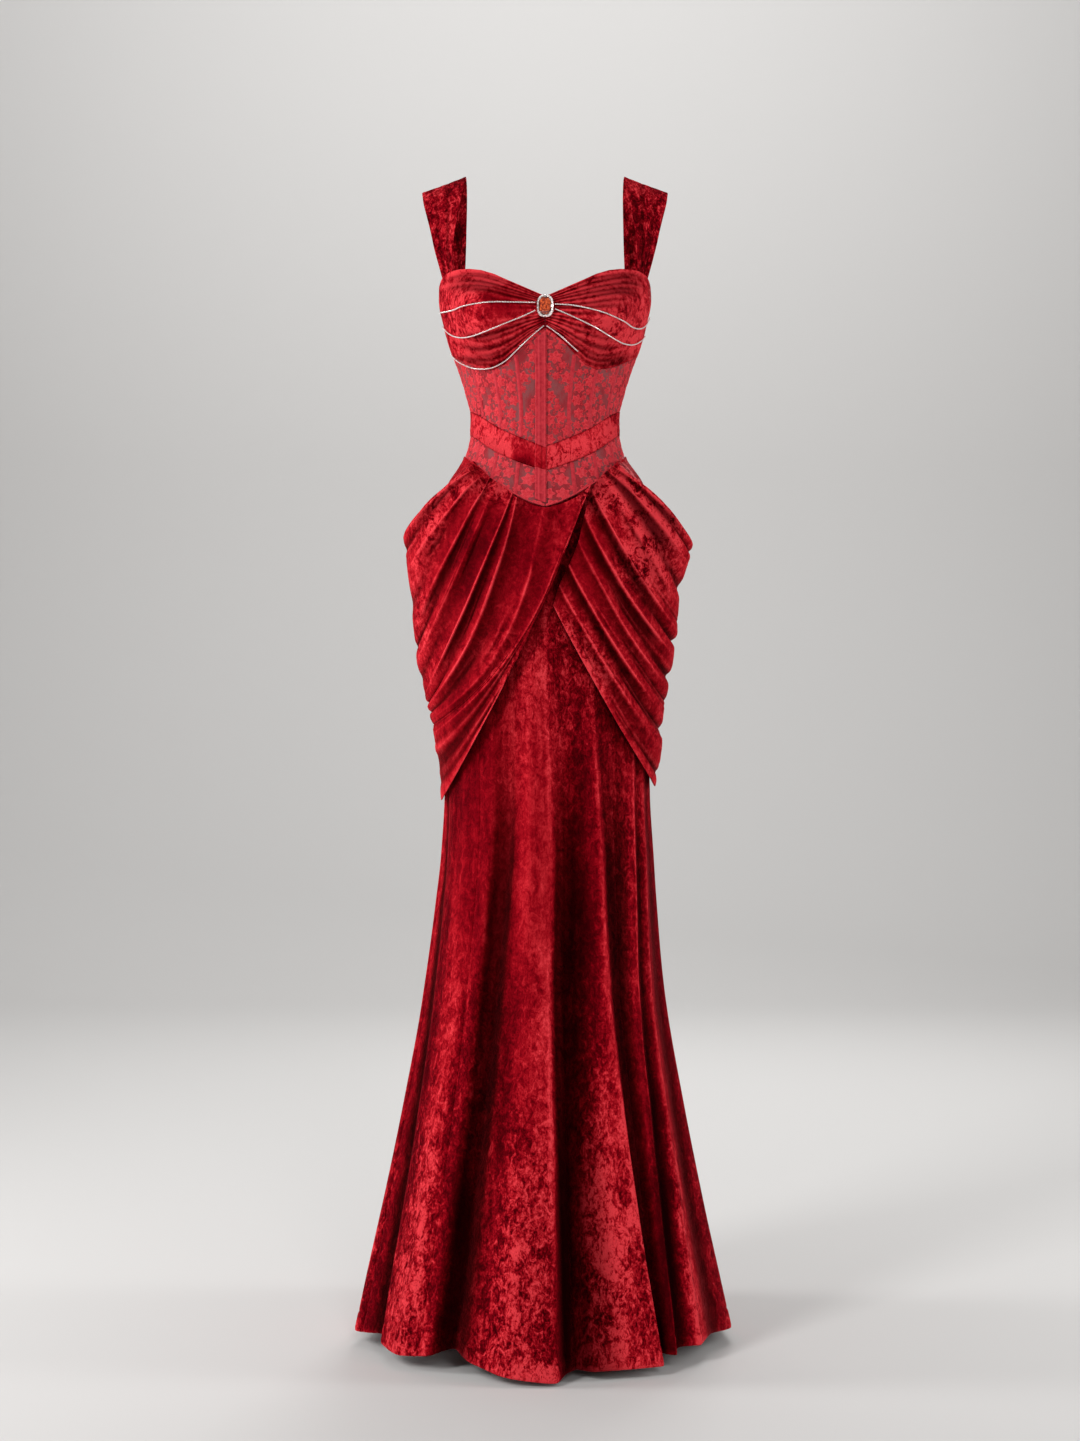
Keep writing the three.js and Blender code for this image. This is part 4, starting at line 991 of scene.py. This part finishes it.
def skirt_panel(name, a, b):
    nu = int(round((b - a) * 1.2))
    # Closer rows at the hem.
    levels = np.concatenate([np.linspace(0, .03, 10, endpoint=False), np.linspace(.03, 1, 100)])
    u, v = np.meshgrid(np.linspace(0, 1, nu + 1), levels)
    flat = mix(a, b, u)
    top = basque_foot(flat) + SEAM
    down = mix(HEM - hemline(flat), top, v)
    g = seam_turn(down)
    opened = BACK_ZIP * np.clip((ZIP_FOOT + 12 - down) / 14, 0, 1)
    left = np.where(abs(a) == 180, -(180 - opened) + g, a + g)
    right = np.where(abs(b) == 180, (180 - opened) - g, b - g)
    turn = mix(left, right, u)
    p, rel = on_skirt(turn, down)
    n = normals(p)
    across0, across1, along0, along1 = edge_reach(p)
    t = np.clip((down - FLUTE_START) / (HEM - FLUTE_START), 0, 1)
    arc = np.radians(turn) * 150
    # Long soft creases that run down the cloth, and shallow dents.
    creases = ripple(arc / 9 + .6 * np.sin(down / 170), down / 260, 71, 3) * .9
    dents = ripple(arc / 34, down / 60, 73, 3) * 1.1
    relief = (creases + dents) * np.clip(.35 + t, 0, 1)
    seam = np.minimum(across0, across1)
    relief -= .7 * np.exp(-(seam / 2.0) ** 2)
    # Turned-up hem: a soft step and a pressed edge.
    relief += .5 * (1 - ease((along0 - 20) / 5)) - .7 * np.exp(-((along0 - 24) / 1.6) ** 2)
    relief -= .9 * np.exp(-(along0 / 2.2) ** 2)
    outer = p + n * (WALL - .2 + relief)[..., None]
    # Painted shade in the troughs of the flutes, where little light reaches, in the long creases and under the drapes'
    # edges.
    wrapped = (turn + 540) % 360 - 180
    full = flute_out(wrapped)
    painted_shade = ease((-full - 1.5) / 11) * (.2 + .8 * ease((t - .12) / .3)) + .14 * np.clip(-creases, 0, 1) + .5 * under_edge(outer)
    # Painted highlight along the sharp flute ridges.
    ridge_and_highlight = sum(k * np.exp(-((wrapped - x) / .8) ** 2) for x, k in zip(FLUTES["turn"], FLUTES["sharp"]) if k > .45)
    ridge_and_highlight = ridge_and_highlight * np.clip(.3 + t * 1.3, 0, 1) * np.clip(.75 + .6 * ripple(arc / 60, down / 55, 77, 2), .1, 1.2)
    lower = ease((down - 1120) / 180)
    own = nap_and_painted_light_of(outer)
    bands = ripple(arc / 13, down / 420, 78, 3)
    # The nap's bias and broad bands, with painted highlight on the flute crests, the ridges and the hem's pressed edge,
    # and painted shade in the troughs.
    nap_and_painted_light = 1.25 * own + .2 + .5 * np.clip(full / 8, -.6, 1) + 1.8 * ridge_and_highlight + .85 * bands + 1.6 * np.exp(-(along0 / 3.5) ** 2) * np.clip(.7 + .6 * ripple(arc / 30, along0 / 90, 79, 2), .1, 1) + .9 * np.exp(-((along0 - 9) / 7) ** 2) * np.clip(.3 + full / 9, 0, 1)
    crush = .13 + .24 * lower * np.clip(.25 + full / 9 + .35 * ripple(arc / 45, down / 110, 75, 2), 0, 1) + .16 * ripple(arc / 60, down / 140, 76, 2)
    crush += .14 * (1 - ease((down - 760) / 200)) * (p[..., 1] < 0)
    crush = np.clip(crush + .26 * own, .05, 1)
    ob = shell("velvet_" + name, outer, 1.6, [VELVET], attributes={"nap_and_painted_light": nap_and_painted_light, "painted_shade": np.clip(painted_shade, 0, 1), "crush": crush})
    return place(ob, "velvet", name)


SKIRT = {}
for name, a, b in zip(("skirt_back_right", "skirt_side_right", "skirt_front", "skirt_side_left", "skirt_back_left"),
                      SKIRT_SEAMS[:-1], SKIRT_SEAMS[1:]):
    SKIRT[name] = skirt_panel(name, a, b)


# ---------- hip drapes ----------
# Extra short folds of a drape: row, from and to along the row, how strong.
TUCKS = {
    "drape_right": [(9.30, .34, 1.15, 1.3), (9.64, .52, 1.15, 1.2), (8.5, .45, 1.1, .7), (2.5, .72, 1.1, .7), (4.45, .15, .6, .5)],
    "drape_left": [(9.5, .45, 1.15, 1.0), (8.45, .5, 1.15, 1.1), (7.5, .55, 1.15, 1.0), (6.45, .3, 1.1, .8), (1.5, .3, .95, .7), (4.55, .5, 1.1, .8)],
}


def drape(name, rows, s, nu=96, per=17):
    keyed = {k: v for k, v in rows.items()}
    keyed["row"] = np.arange(len(rows["x"]), dtype=float)
    col = curves(keyed, "row")
    last = len(rows["x"]) - 1
    u, v = np.meshgrid(np.linspace(0, 1, nu + 1), np.linspace(0, 1, per * last + 1))
    row = v * last
    k = np.minimum(last - 1, np.floor(row)).astype(int)
    between = row - k
    half, side, front = col["half"](row), col["side"](row), u <= .5
    # The top edge is caught in against the body.
    half = half - 5.0 * (1 - ease(row / .55))
    x0 = np.where(front, col["x"](row), col["backX"](row))
    d0 = np.where(front, col["down"](row), col["backDown"](row))
    start = np.arcsin(np.clip(x0 / half, -1, 1))
    a = np.where(front, mix(start, math.pi / 2, u * 2), mix(math.pi / 2, start, u * 2 - 1))
    t = np.clip((np.sin(a) - np.sin(start)) / (1 - np.sin(start)), 0, 1)
    bow = np.where(front, col["bow"](row), np.maximum(0, col["bow"](row) * .5))
    down = mix(d0, side, t * (1 + bow) / (1 + bow * t))
    stand = mix(col["lift0"](row), np.where(front, col["lift"](row), BACK_LIFT), ease(t / .22))
    # Each fold is a narrow ridge, and the cloth sinks behind it and rises slowly to the next.
    b0 = .34
    rise = np.clip(np.sin(math.pi / 2 * np.clip(between / b0, 0, 1)), 0, 1)
    fall = np.clip(np.cos(math.pi / 2 * np.clip((between - b0) / (1 - b0), 0, 1)), 0, 1)
    hollow = np.where(between < b0, rise, fall) ** 1.3
    # Towards the side the folds round out, with narrow creases between them.
    middle = .5 + .12 * np.sin(k * 2.3)
    round_out = ease((t - .6) / .4)
    hollow = mix(hollow, np.exp(-((between - middle) / .16) ** 2), round_out)
    deeper = .78 + .34 * np.sin(k * 2.4 + s)
    depth = keyed["dip"][k] * deeper * mix(.42, 1, t ** .8)
    dip = depth * hollow
    deep = np.where(front, form["front"](down), form["back"](down)) + stand - dip * .8
    # The upper rows start sewn down at the basque's foot, and no row lies inside the skirt.
    fh, fd = form["half"](down) + 2.4, np.where(front, form["front"](down), form["back"](down)) + 2.4
    x = (half - dip) * np.sin(a)
    sewn = (1 - ease(t / .14)) * (1 - ease((row - 4) / 2))
    y = mix(deep * np.cos(a), fd * np.sqrt(np.clip(1 - (x / fh) ** 2, 0, 1)) + 1.0, sewn)
    push = np.maximum(1, 1 / np.maximum(1e-6, np.sqrt((x / fh) ** 2 + (y / fd) ** 2)))
    p = np.stack([s * x * push + form["sway"](down), np.where(front, -1, 1) * y * push, -down], -1)
    # The ridge lines, raised in the relief and given a painted highlight.
    ridge_and_highlight = (np.exp(-(between / .05) ** 2) + np.exp(-((1 - between) / .05) ** 2)) * (depth > 1.2) * (1 - .75 * round_out)
    ridge_and_highlight = ridge_and_highlight * np.clip(.85 + .5 * ripple(t * 7, row * 1.3, 87 + s, 2), .2, 1.2)
    # Short creases between the main ones.
    minor, beside = np.zeros_like(t), np.zeros_like(t)
    for j in range(last * 2):
        at = (j * .5 + .34 + .16 * math.sin(j * 2.9)) + .10 * np.sin(t * 4 + j)
        reach = ease(1 - np.abs(t - (.22 + .6 * ((j * .618) % 1))) / (.16 + .12 * ((j * .377) % 1)))
        minor += np.exp(-((row - at) / .035) ** 2) * reach
        beside += np.exp(-((row - at - .09) / .06) ** 2) * reach
    for at, t0, t1, strong in TUCKS[name]:
        line = at + .07 * np.sin(t * 6 + at)
        reach = ease((t - t0) / .18) * ease((t1 - t) / .18) * strong
        minor += np.exp(-((row - line) / .06) ** 2) * reach
        beside += (np.exp(-((row - line - .11) / .06) ** 2) + .4 * np.exp(-((row - line + .10) / .05) ** 2)) * reach
    small = ripple(t * 5 + row * .8, row * 5.2, 81 + s, 3) * .8 + ripple(t * 16, row * 2.2, 83 + s, 2) * .5
    n = normals(p) * -s
    edge = np.minimum(v, 1 - v) * last
    hem = np.exp(-((1 - v) * last / .06) ** 2)
    relief = .9 * ridge_and_highlight + .7 * minor - 1.1 * beside + small * ease(t / .2 + .2) * np.clip(edge / .25, 0, 1) - .6 * hem
    outer = p + n * (WALL - .2 + relief)[..., None]
    # Painted shade, dark close under each ridge and easing up to the next, in the creases and beside the short creases.
    under = ease(between / .10) * (1 - ease((between - .14) / .72))
    crease = np.exp(-((between - middle) / .13) ** 2)
    painted_shade = mix(under * np.clip(depth / 3.6, 0, 1), crease * np.clip(depth / 4, 0, 1), round_out) * .98 + .42 * beside
    if s > 0:
        # The other drape lies over this one and shades it.
        edge_x = np.interp(-outer[..., 2], [407, 480, 551, 635, 723], [58, 30, 0, -40, -86])
        painted_shade += .6 * np.exp(-np.clip(outer[..., 0] - edge_x, 0, None) / 9) * (outer[..., 1] < 0) * (outer[..., 2] > -640)
    own = nap_and_painted_light_of(outer)
    # The nap's bias, with painted highlight on the ridges, the short creases, the lower edge and the rounded folds.
    nap_and_painted_light = own * 1.2 + 2.1 * ridge_and_highlight * (.6 + .5 * deeper) + 1.0 * minor + .5 * np.exp(-(((1 - v) * last - .10) / .05) ** 2) + .55 + .30 * round_out * (1 - crease)
    crush = np.clip(.12 + .75 * own, .03, 1)
    ob = shell("velvet_" + name, outer, 1.6, [DRAPE_VELVET], flip=s > 0, attributes={"nap_and_painted_light": nap_and_painted_light, "painted_shade": np.clip(painted_shade, 0, 1), "crush": crush})
    return place(ob, "velvet", name)


DRAPES = {"drape_left": drape("drape_left", DRAPE_LEFT, 1), "drape_right": drape("drape_right", DRAPE_RIGHT, -1)}


# ---------- back zip ----------
def back_zip():
    u, v = np.meshgrid(np.array([0, .06, .2, .38, .46, .49, .5, .51, .54, .62, .8, .94, 1.0]), np.linspace(0, 1, 70))
    down = mix(ZIP_FOOT + 7, float(back_neck(np.array(180.0))) + SEAM / 2, v)
    g = seam_turn(down)
    turn = mix(180 - BACK_ZIP + g, 180 + BACK_ZIP - g, u)
    p = on_form(turn, down)
    q = np.abs(u - .5)
    relief = .35 * np.exp(-((q - .12) / .08) ** 2) - 1.0 * np.exp(-(q / .025) ** 2)
    outer = p + normals(p) * (1.4 + relief)[..., None]
    return outer


ZIP = place(shell("concealed_zip", back_zip(), .9, [TAPE]), "zip_tape", "back_zip")


# ---------- chains and brooch ----------
def stone_template(sides, rings):
    """A faceted stone: rings of (radius, height), closed at both ends."""
    pts, faces = [], []
    for r, h in rings:
        for i in range(sides):
            a = 2 * math.pi * (i + .5) / sides
            pts.append((r * math.cos(a), r * math.sin(a), h))
    n = len(rings)
    for k in range(n - 1):
        for i in range(sides):
            j = (i + 1) % sides
            a, b, c, d = k * sides + i, k * sides + j, (k + 1) * sides + j, (k + 1) * sides + i
            faces += [(a, b, c), (a, c, d)]
    for k, up in ((0, False), (n - 1, True)):
        pts.append((0, 0, rings[k][1]))
        for i in range(sides):
            j = (i + 1) % sides
            tri = (len(pts) - 1, k * sides + i, k * sides + j)
            faces.append(tri if up else tri[::-1])
    return np.array(pts, float), np.array(faces)


def instances(template, places, x_axis, y_axis, z_axis, size):
    p, f = template
    pts = places[:, None] + size[:, None, None] * (p[None, :, 0:1] * x_axis[:, None] + p[None, :, 1:2] * y_axis[:, None] + p[None, :, 2:3] * z_axis[:, None])
    faces = f[None] + (np.arange(len(places)) * len(p))[:, None, None]
    return pts.reshape(-1, 3), faces.reshape(-1, 3)


CUP_STONE = stone_template(7, [(.78, .30), (.80, .50), (.50, .88)])
CUP_SEAT = stone_template(7, [(.62, -.75), (.95, -.45), (1.0, .22), (.86, .36)])


def joined(name, parts, materials):
    ps, fs, ms, at = [], [], [], 0
    for (p, f), m in parts:
        ps.append(p)
        fs.append(f + at)
        ms.append(np.full(len(f), m))
        at += len(p)
    return mesh_object(name, np.concatenate(ps), [np.concatenate(fs)], materials, smooth=False, face_materials=np.concatenate(ms))


def brooch_seat():
    t, d = np.meshgrid(np.arange(-8, 8.1, 2), np.arange(BROOCH["down"] - BROOCH["half_height"], BROOCH["down"] + BROOCH["half_height"] + .1, 4))
    return min(0.0, float((on_bust(t, d)[..., 1] - WALL).min())) - .5


SEAT_Y = brooch_seat()


def catmull(points, n):
    p = np.array(points)
    ext = np.concatenate([[2 * p[0] - p[1]], p, [2 * p[-1] - p[-2]]])
    out = []
    per = max(2, n // (len(p) - 1))
    for i in range(len(p) - 1):
        a, b, c, d = ext[i:i + 4]
        t = np.linspace(0, 1, per, endpoint=i == len(p) - 2)[:, None]
        out.append(.5 * (2 * b + (c - a) * t + (2 * a - 5 * b + 4 * c - d) * t ** 2 + (3 * b - a - 3 * c + d) * t ** 3))
    return np.concatenate(out)


def chain(name, points):
    s = 1 if name.endswith("left") else -1
    lift = WALL + CHAIN_R + CHAIN_LIFT
    line, outs = [], []
    for turn, down in points:
        t, d, e = np.array(float(s * turn)), np.array(float(down)), .5
        p = on_bust(t, d)
        n = unit(np.cross(on_bust(t + e, d) - on_bust(t - e, d), on_bust(t, d - 1) - on_bust(t, d + 1)))
        if turn < 6 and "lower" not in name:
            p = np.array([s * (BROOCH["half_width"] + 1.6), SEAT_Y - 1.2, -down])
            line.append(p)
        else:
            line.append(p + n * lift)
        outs.append(n)
    path = catmull(line, 600)
    away = catmull(outs, 600)
    step = np.concatenate([[0], np.cumsum(np.linalg.norm(np.diff(path, axis=0), axis=1))])
    n = int(step[-1] / 2.05)
    at = np.linspace(.9, step[-1] - .9, n)
    q = np.stack([np.interp(at, step, path[:, i]) for i in range(3)], 1)
    z = unit(np.stack([np.interp(at, step, away[:, i]) for i in range(3)], 1))
    x = unit(np.gradient(q, axis=0))
    y = unit(np.cross(z, x))
    z = np.cross(x, y)
    size = np.full(n, .98)
    # A link wire joins the seats.
    m = len(q)
    ring = np.array([(math.cos(a), math.sin(a)) for a in np.linspace(0, 2 * math.pi, 6, endpoint=False)]) * .32
    wire = (q[:, None] + ring[None, :, 0:1] * y[:, None] + (ring[None, :, 1:2] - .25) * z[:, None]).reshape(-1, 3)
    quads = grid_faces(m, 6, 0, wrap=True)
    wire_f = np.concatenate([quads[:, [0, 1, 2]], quads[:, [0, 2, 3]]])
    caps = np.array([(0, i + 1, i) for i in range(1, 5)] + [((m - 1) * 6, (m - 1) * 6 + i, (m - 1) * 6 + i + 1) for i in range(1, 5)])
    wire_f = np.concatenate([wire_f, caps])[:, ::-1]
    ob = joined("stones_" + name, [(instances(CUP_SEAT, q, x, y, z, size), 0), (instances(CUP_STONE, q, x, y, z, size), 1), ((wire, wire_f), 0)], [SILVER, CLEAR])
    return place(ob, "silver", name)


CHAIN_PIECES = [chain(name, points) for name, points in CHAINS.items()]


def oval_rings(rings, sides, y0, power=2.6):
    """A closed form of squared ovals facing the way the wearer faces: rings of (half width, half height, stand)."""
    pts, faces = [], []
    a = 2 * math.pi * (np.arange(sides) + .5) / sides
    c, s = np.cos(a), np.sin(a)
    cx, sz = np.sign(c) * np.abs(c) ** (2 / power), np.sign(s) * np.abs(s) ** (2 / power)
    for w, h, stand in rings:
        pts.append(np.column_stack([w * cx, np.full(sides, y0 - stand), h * sz - BROOCH["down"]]))
    n = len(rings)
    for k in range(n - 1):
        for i in range(sides):
            j = (i + 1) % sides
            faces += [(k * sides + i, k * sides + j, (k + 1) * sides + j), (k * sides + i, (k + 1) * sides + j, (k + 1) * sides + i)]
    pts = np.concatenate(pts)
    for k, up in ((0, False), (n - 1, True)):
        pts = np.concatenate([pts, [[0, y0 - rings[k][2], -BROOCH["down"]]]])
        for i in range(sides):
            j = (i + 1) % sides
            tri = (len(pts) - 1, k * sides + i, k * sides + j)
            faces.append(tri if up else tri[::-1])
    return pts, np.array(faces)


def brooch():
    W, H, T = BROOCH["half_width"], BROOCH["half_height"], BROOCH["thick"]
    sides = 48
    base = oval_rings([(W * .94, H * .94, 0), (W, H, .8), (W * .99, H * .99, T * .5), (W * .93, H * .95, T * .72), (W * .76, H * .80, T * .78), (W * .70, H * .76, T * .5), (W * .66, H * .73, 1.2)], sides, SEAT_Y)
    # Small stones round the rim.
    n = 24
    a = 2 * math.pi * (np.arange(n) + .5) / n
    c, s = np.cos(a), np.sin(a)
    cx, sz = np.sign(c) * np.abs(c) ** (2 / 2.6), np.sign(s) * np.abs(s) ** (2 / 2.6)
    q = np.column_stack([W * .86 * cx, np.full(n, SEAT_Y - T * .82), H * .885 * sz - BROOCH["down"]])
    x = np.tile([1.0, 0, 0], (n, 1))
    y = np.tile([0, 0, 1.0], (n, 1))
    z = np.tile([0, -1.0, 0], (n, 1))
    pave = instances(CUP_STONE, q, x, y, z, np.full(n, 1.45))
    seats = instances(CUP_SEAT, q, x, y, z, np.full(n, 1.42))
    # Four claws over the middle stone.
    claws = []
    claw = stone_template(8, [(.5, -1.6), (.62, .2), (.5, .8), (.2, 1.05)])
    for sx in (-1, 1):
        for sy in (-1, 1):
            claws.append((sx * STONE["half_width"] * .80, SEAT_Y - T * .95, sy * STONE["half_height"] * .80 - BROOCH["down"]))
    claws = np.array(claws)
    k = len(claws)
    claw_mesh = instances(claw, claws, x[:k], y[:k], z[:k], np.full(k, 1.1))
    ob = joined("brooch_halo", [(base, 0), (seats, 0), (pave, 1), (claw_mesh, 0)], [SILVER, CLEAR])
    place(ob, "silver", "brooch_setting")
    w, h, t = STONE["half_width"], STONE["half_height"], STONE["thick"]
    y0 = SEAT_Y - 1.4 - .35
    gem = oval_rings([(w * .5, h * .6, 0), (w * .9, h * .93, t * .28), (w * .99, h, t * .46), (w * .97, h * .98, t * .56), (w * .78, h * .84, t * .80),
                      (w * .56, h * .68, t * 1.0)], 12, y0, power=3.4)
    st = joined("amber_stone_cut", [(gem, 0)], [AMBER])
    return ob, place(st, "crystal", "brooch_stone")


BROOCH_PIECES = brooch()

# ---------- what each sheet was cut to ----------
# Width and length in metres, and the share of that rectangle that the cut takes up.
CUT = {}


def declare(ob, width, length, share, held, parts=()):
    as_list(parts)


for ob in [x[1] for x in LACE] + [PLACKET, ZIP] + list(BANDS.values()) + list(CUPS.values()) + list(STRAPS.values()) + list(SKIRT.values()) + list(DRAPES.values()):
    round(area_of(ob) / 2, 5)

# Width, length and the share of that rectangle that is cloth, from the longest row and column of each sheet.
FLATS = {
    "bodice_front": (.086, .150, .54, "stretched"), "bodice_side": (.094, .076, .81, "stretched"),
    "basque_front": (.168, .047, .72, "stretched"), "bodice_back": (.172, .168, .87, "stretched"),
    "basque_back": (.147, .050, .70, "stretched"), "waistband_front": (.151, .031, .97, "stretched"),
    "waistband_back": (.133, .031, 1.0, "stretched"),
}
for name, net, parts, _ in LACE:
    w, l, share, held = FLATS[name.rsplit("_", 1)[0]]
    declare(net, w, l, share, held, parts=parts)
for name, ob in BANDS.items():
    w, l, share, held = FLATS[name.rsplit("_", 1)[0]]
    declare(ob, w, l, share, held)
declare(PLACKET, .021, .218, .73, "stretched")
declare(ZIP, .0115, .358, None, "stretched")
for hand, ob in CUPS.items():
    declare(ob, .204, .146, .72, "gathered")
for hand, ob in STRAPS.items():
    declare(ob, .060, .313, .66, "stretched")
for name, ob in SKIRT.items():
    w, l, share = {"skirt_front": (.394, 1.10, .587), "skirt_side_left": (.217, 1.137, .617), "skirt_side_right": (.148, 1.137, .775),
                   "skirt_back_left": (.396, 1.137, .573), "skirt_back_right": (.462, 1.139, .535)}[name]
    declare(ob, w, l, share, "hung")
declare(DRAPES["drape_left"], .723, .485, .403, "draped")
declare(DRAPES["drape_right"], .925, .496, .344, "draped")

# ---------- stage, camera and lights ----------
def plain(name, colour, rough):
    m, nt, bsdf = material(name)
    bsdf.inputs["Base Color"].default_value = (*colour, 1)
    bsdf.inputs["Roughness"].default_value = rough
    bsdf.inputs["Specular IOR Level"].default_value = .2
    return m


# The floor sweeps up behind into a plain ground.
bend = [(3.4 + 1.7 * math.sin(q), .197 - 1.7 * math.cos(q)) for q in np.linspace(0, math.pi / 2, 24)]
profile = [(-8.0, -1.503), (-2.0, -1.503), (1.0, -1.503)] + bend + [(5.1, 2.2), (5.1, 5.0)]
xs = np.linspace(-8, 8, 9)
floor_pts = np.array([[(x, y, z) for x in xs] for y, z in profile]).reshape(-1, 3)
floor_faces = grid_faces(len(profile), len(xs))
floor = mesh_object("floor", floor_pts, [floor_faces], [plain("pale_floor", (.62, .61, .60), .85)], smooth=True, metres=True)

camera_data = bpy.data.cameras.new("camera")
camera_data.lens, camera_data.sensor_width = 57.65, 36
camera_data.clip_start, camera_data.clip_end = .05, 60
camera = bpy.data.objects.new("camera", camera_data)
camera.location = (-.0065, -3.0, -.705)
camera.rotation_euler = (math.pi / 2, 0, 0)
COLLECTION.objects.link(camera)
bpy.context.scene.camera = camera


def area_light(name, place_at, target, size, power, colour=(1, 1, 1)):
    d = bpy.data.lights.new(name, "AREA")
    d.shape, d.size, d.size_y, d.energy, d.color = "RECTANGLE", size[0], size[1], power, colour
    o = bpy.data.objects.new(name, d)
    o.location = place_at
    o.rotation_euler = (Vector(target) - Vector(place_at)).to_track_quat("-Z", "Y").to_euler()
    COLLECTION.objects.link(o)
    return o


area_light("key", (-2.1, -2.4, .8), (0, 0, -.65), (.8, 1.2), 66)
area_light("front", (.7, -3.4, .3), (0, 0, -.70), (.8, 1.4), 30)
area_light("left_side", (-2.3, .1, -.35), (0, 0, -.75), (.35, 2.0), 34)
area_light("right_side", (2.2, -.1, -.3), (0, 0, -.75), (.35, 2.0), 22)
area_light("behind", (.6, 2.6, 1.0), (0, 0, -.6), (1.2, 1.2), 34)
area_light("ground", (0, 2.0, 3.0), (0, 5.1, .2), (3.5, .8), 125)

world = bpy.data.worlds.new("world")
bpy.context.scene.world = world
world.use_nodes = True
wn = world.node_tree
background = next(n for n in wn.nodes if n.type == "BACKGROUND")
background.inputs["Color"].default_value = (.80, .79, .78, 1)
background.inputs["Strength"].default_value = .20
bpy.context.scene.view_settings.view_transform = "Standard"
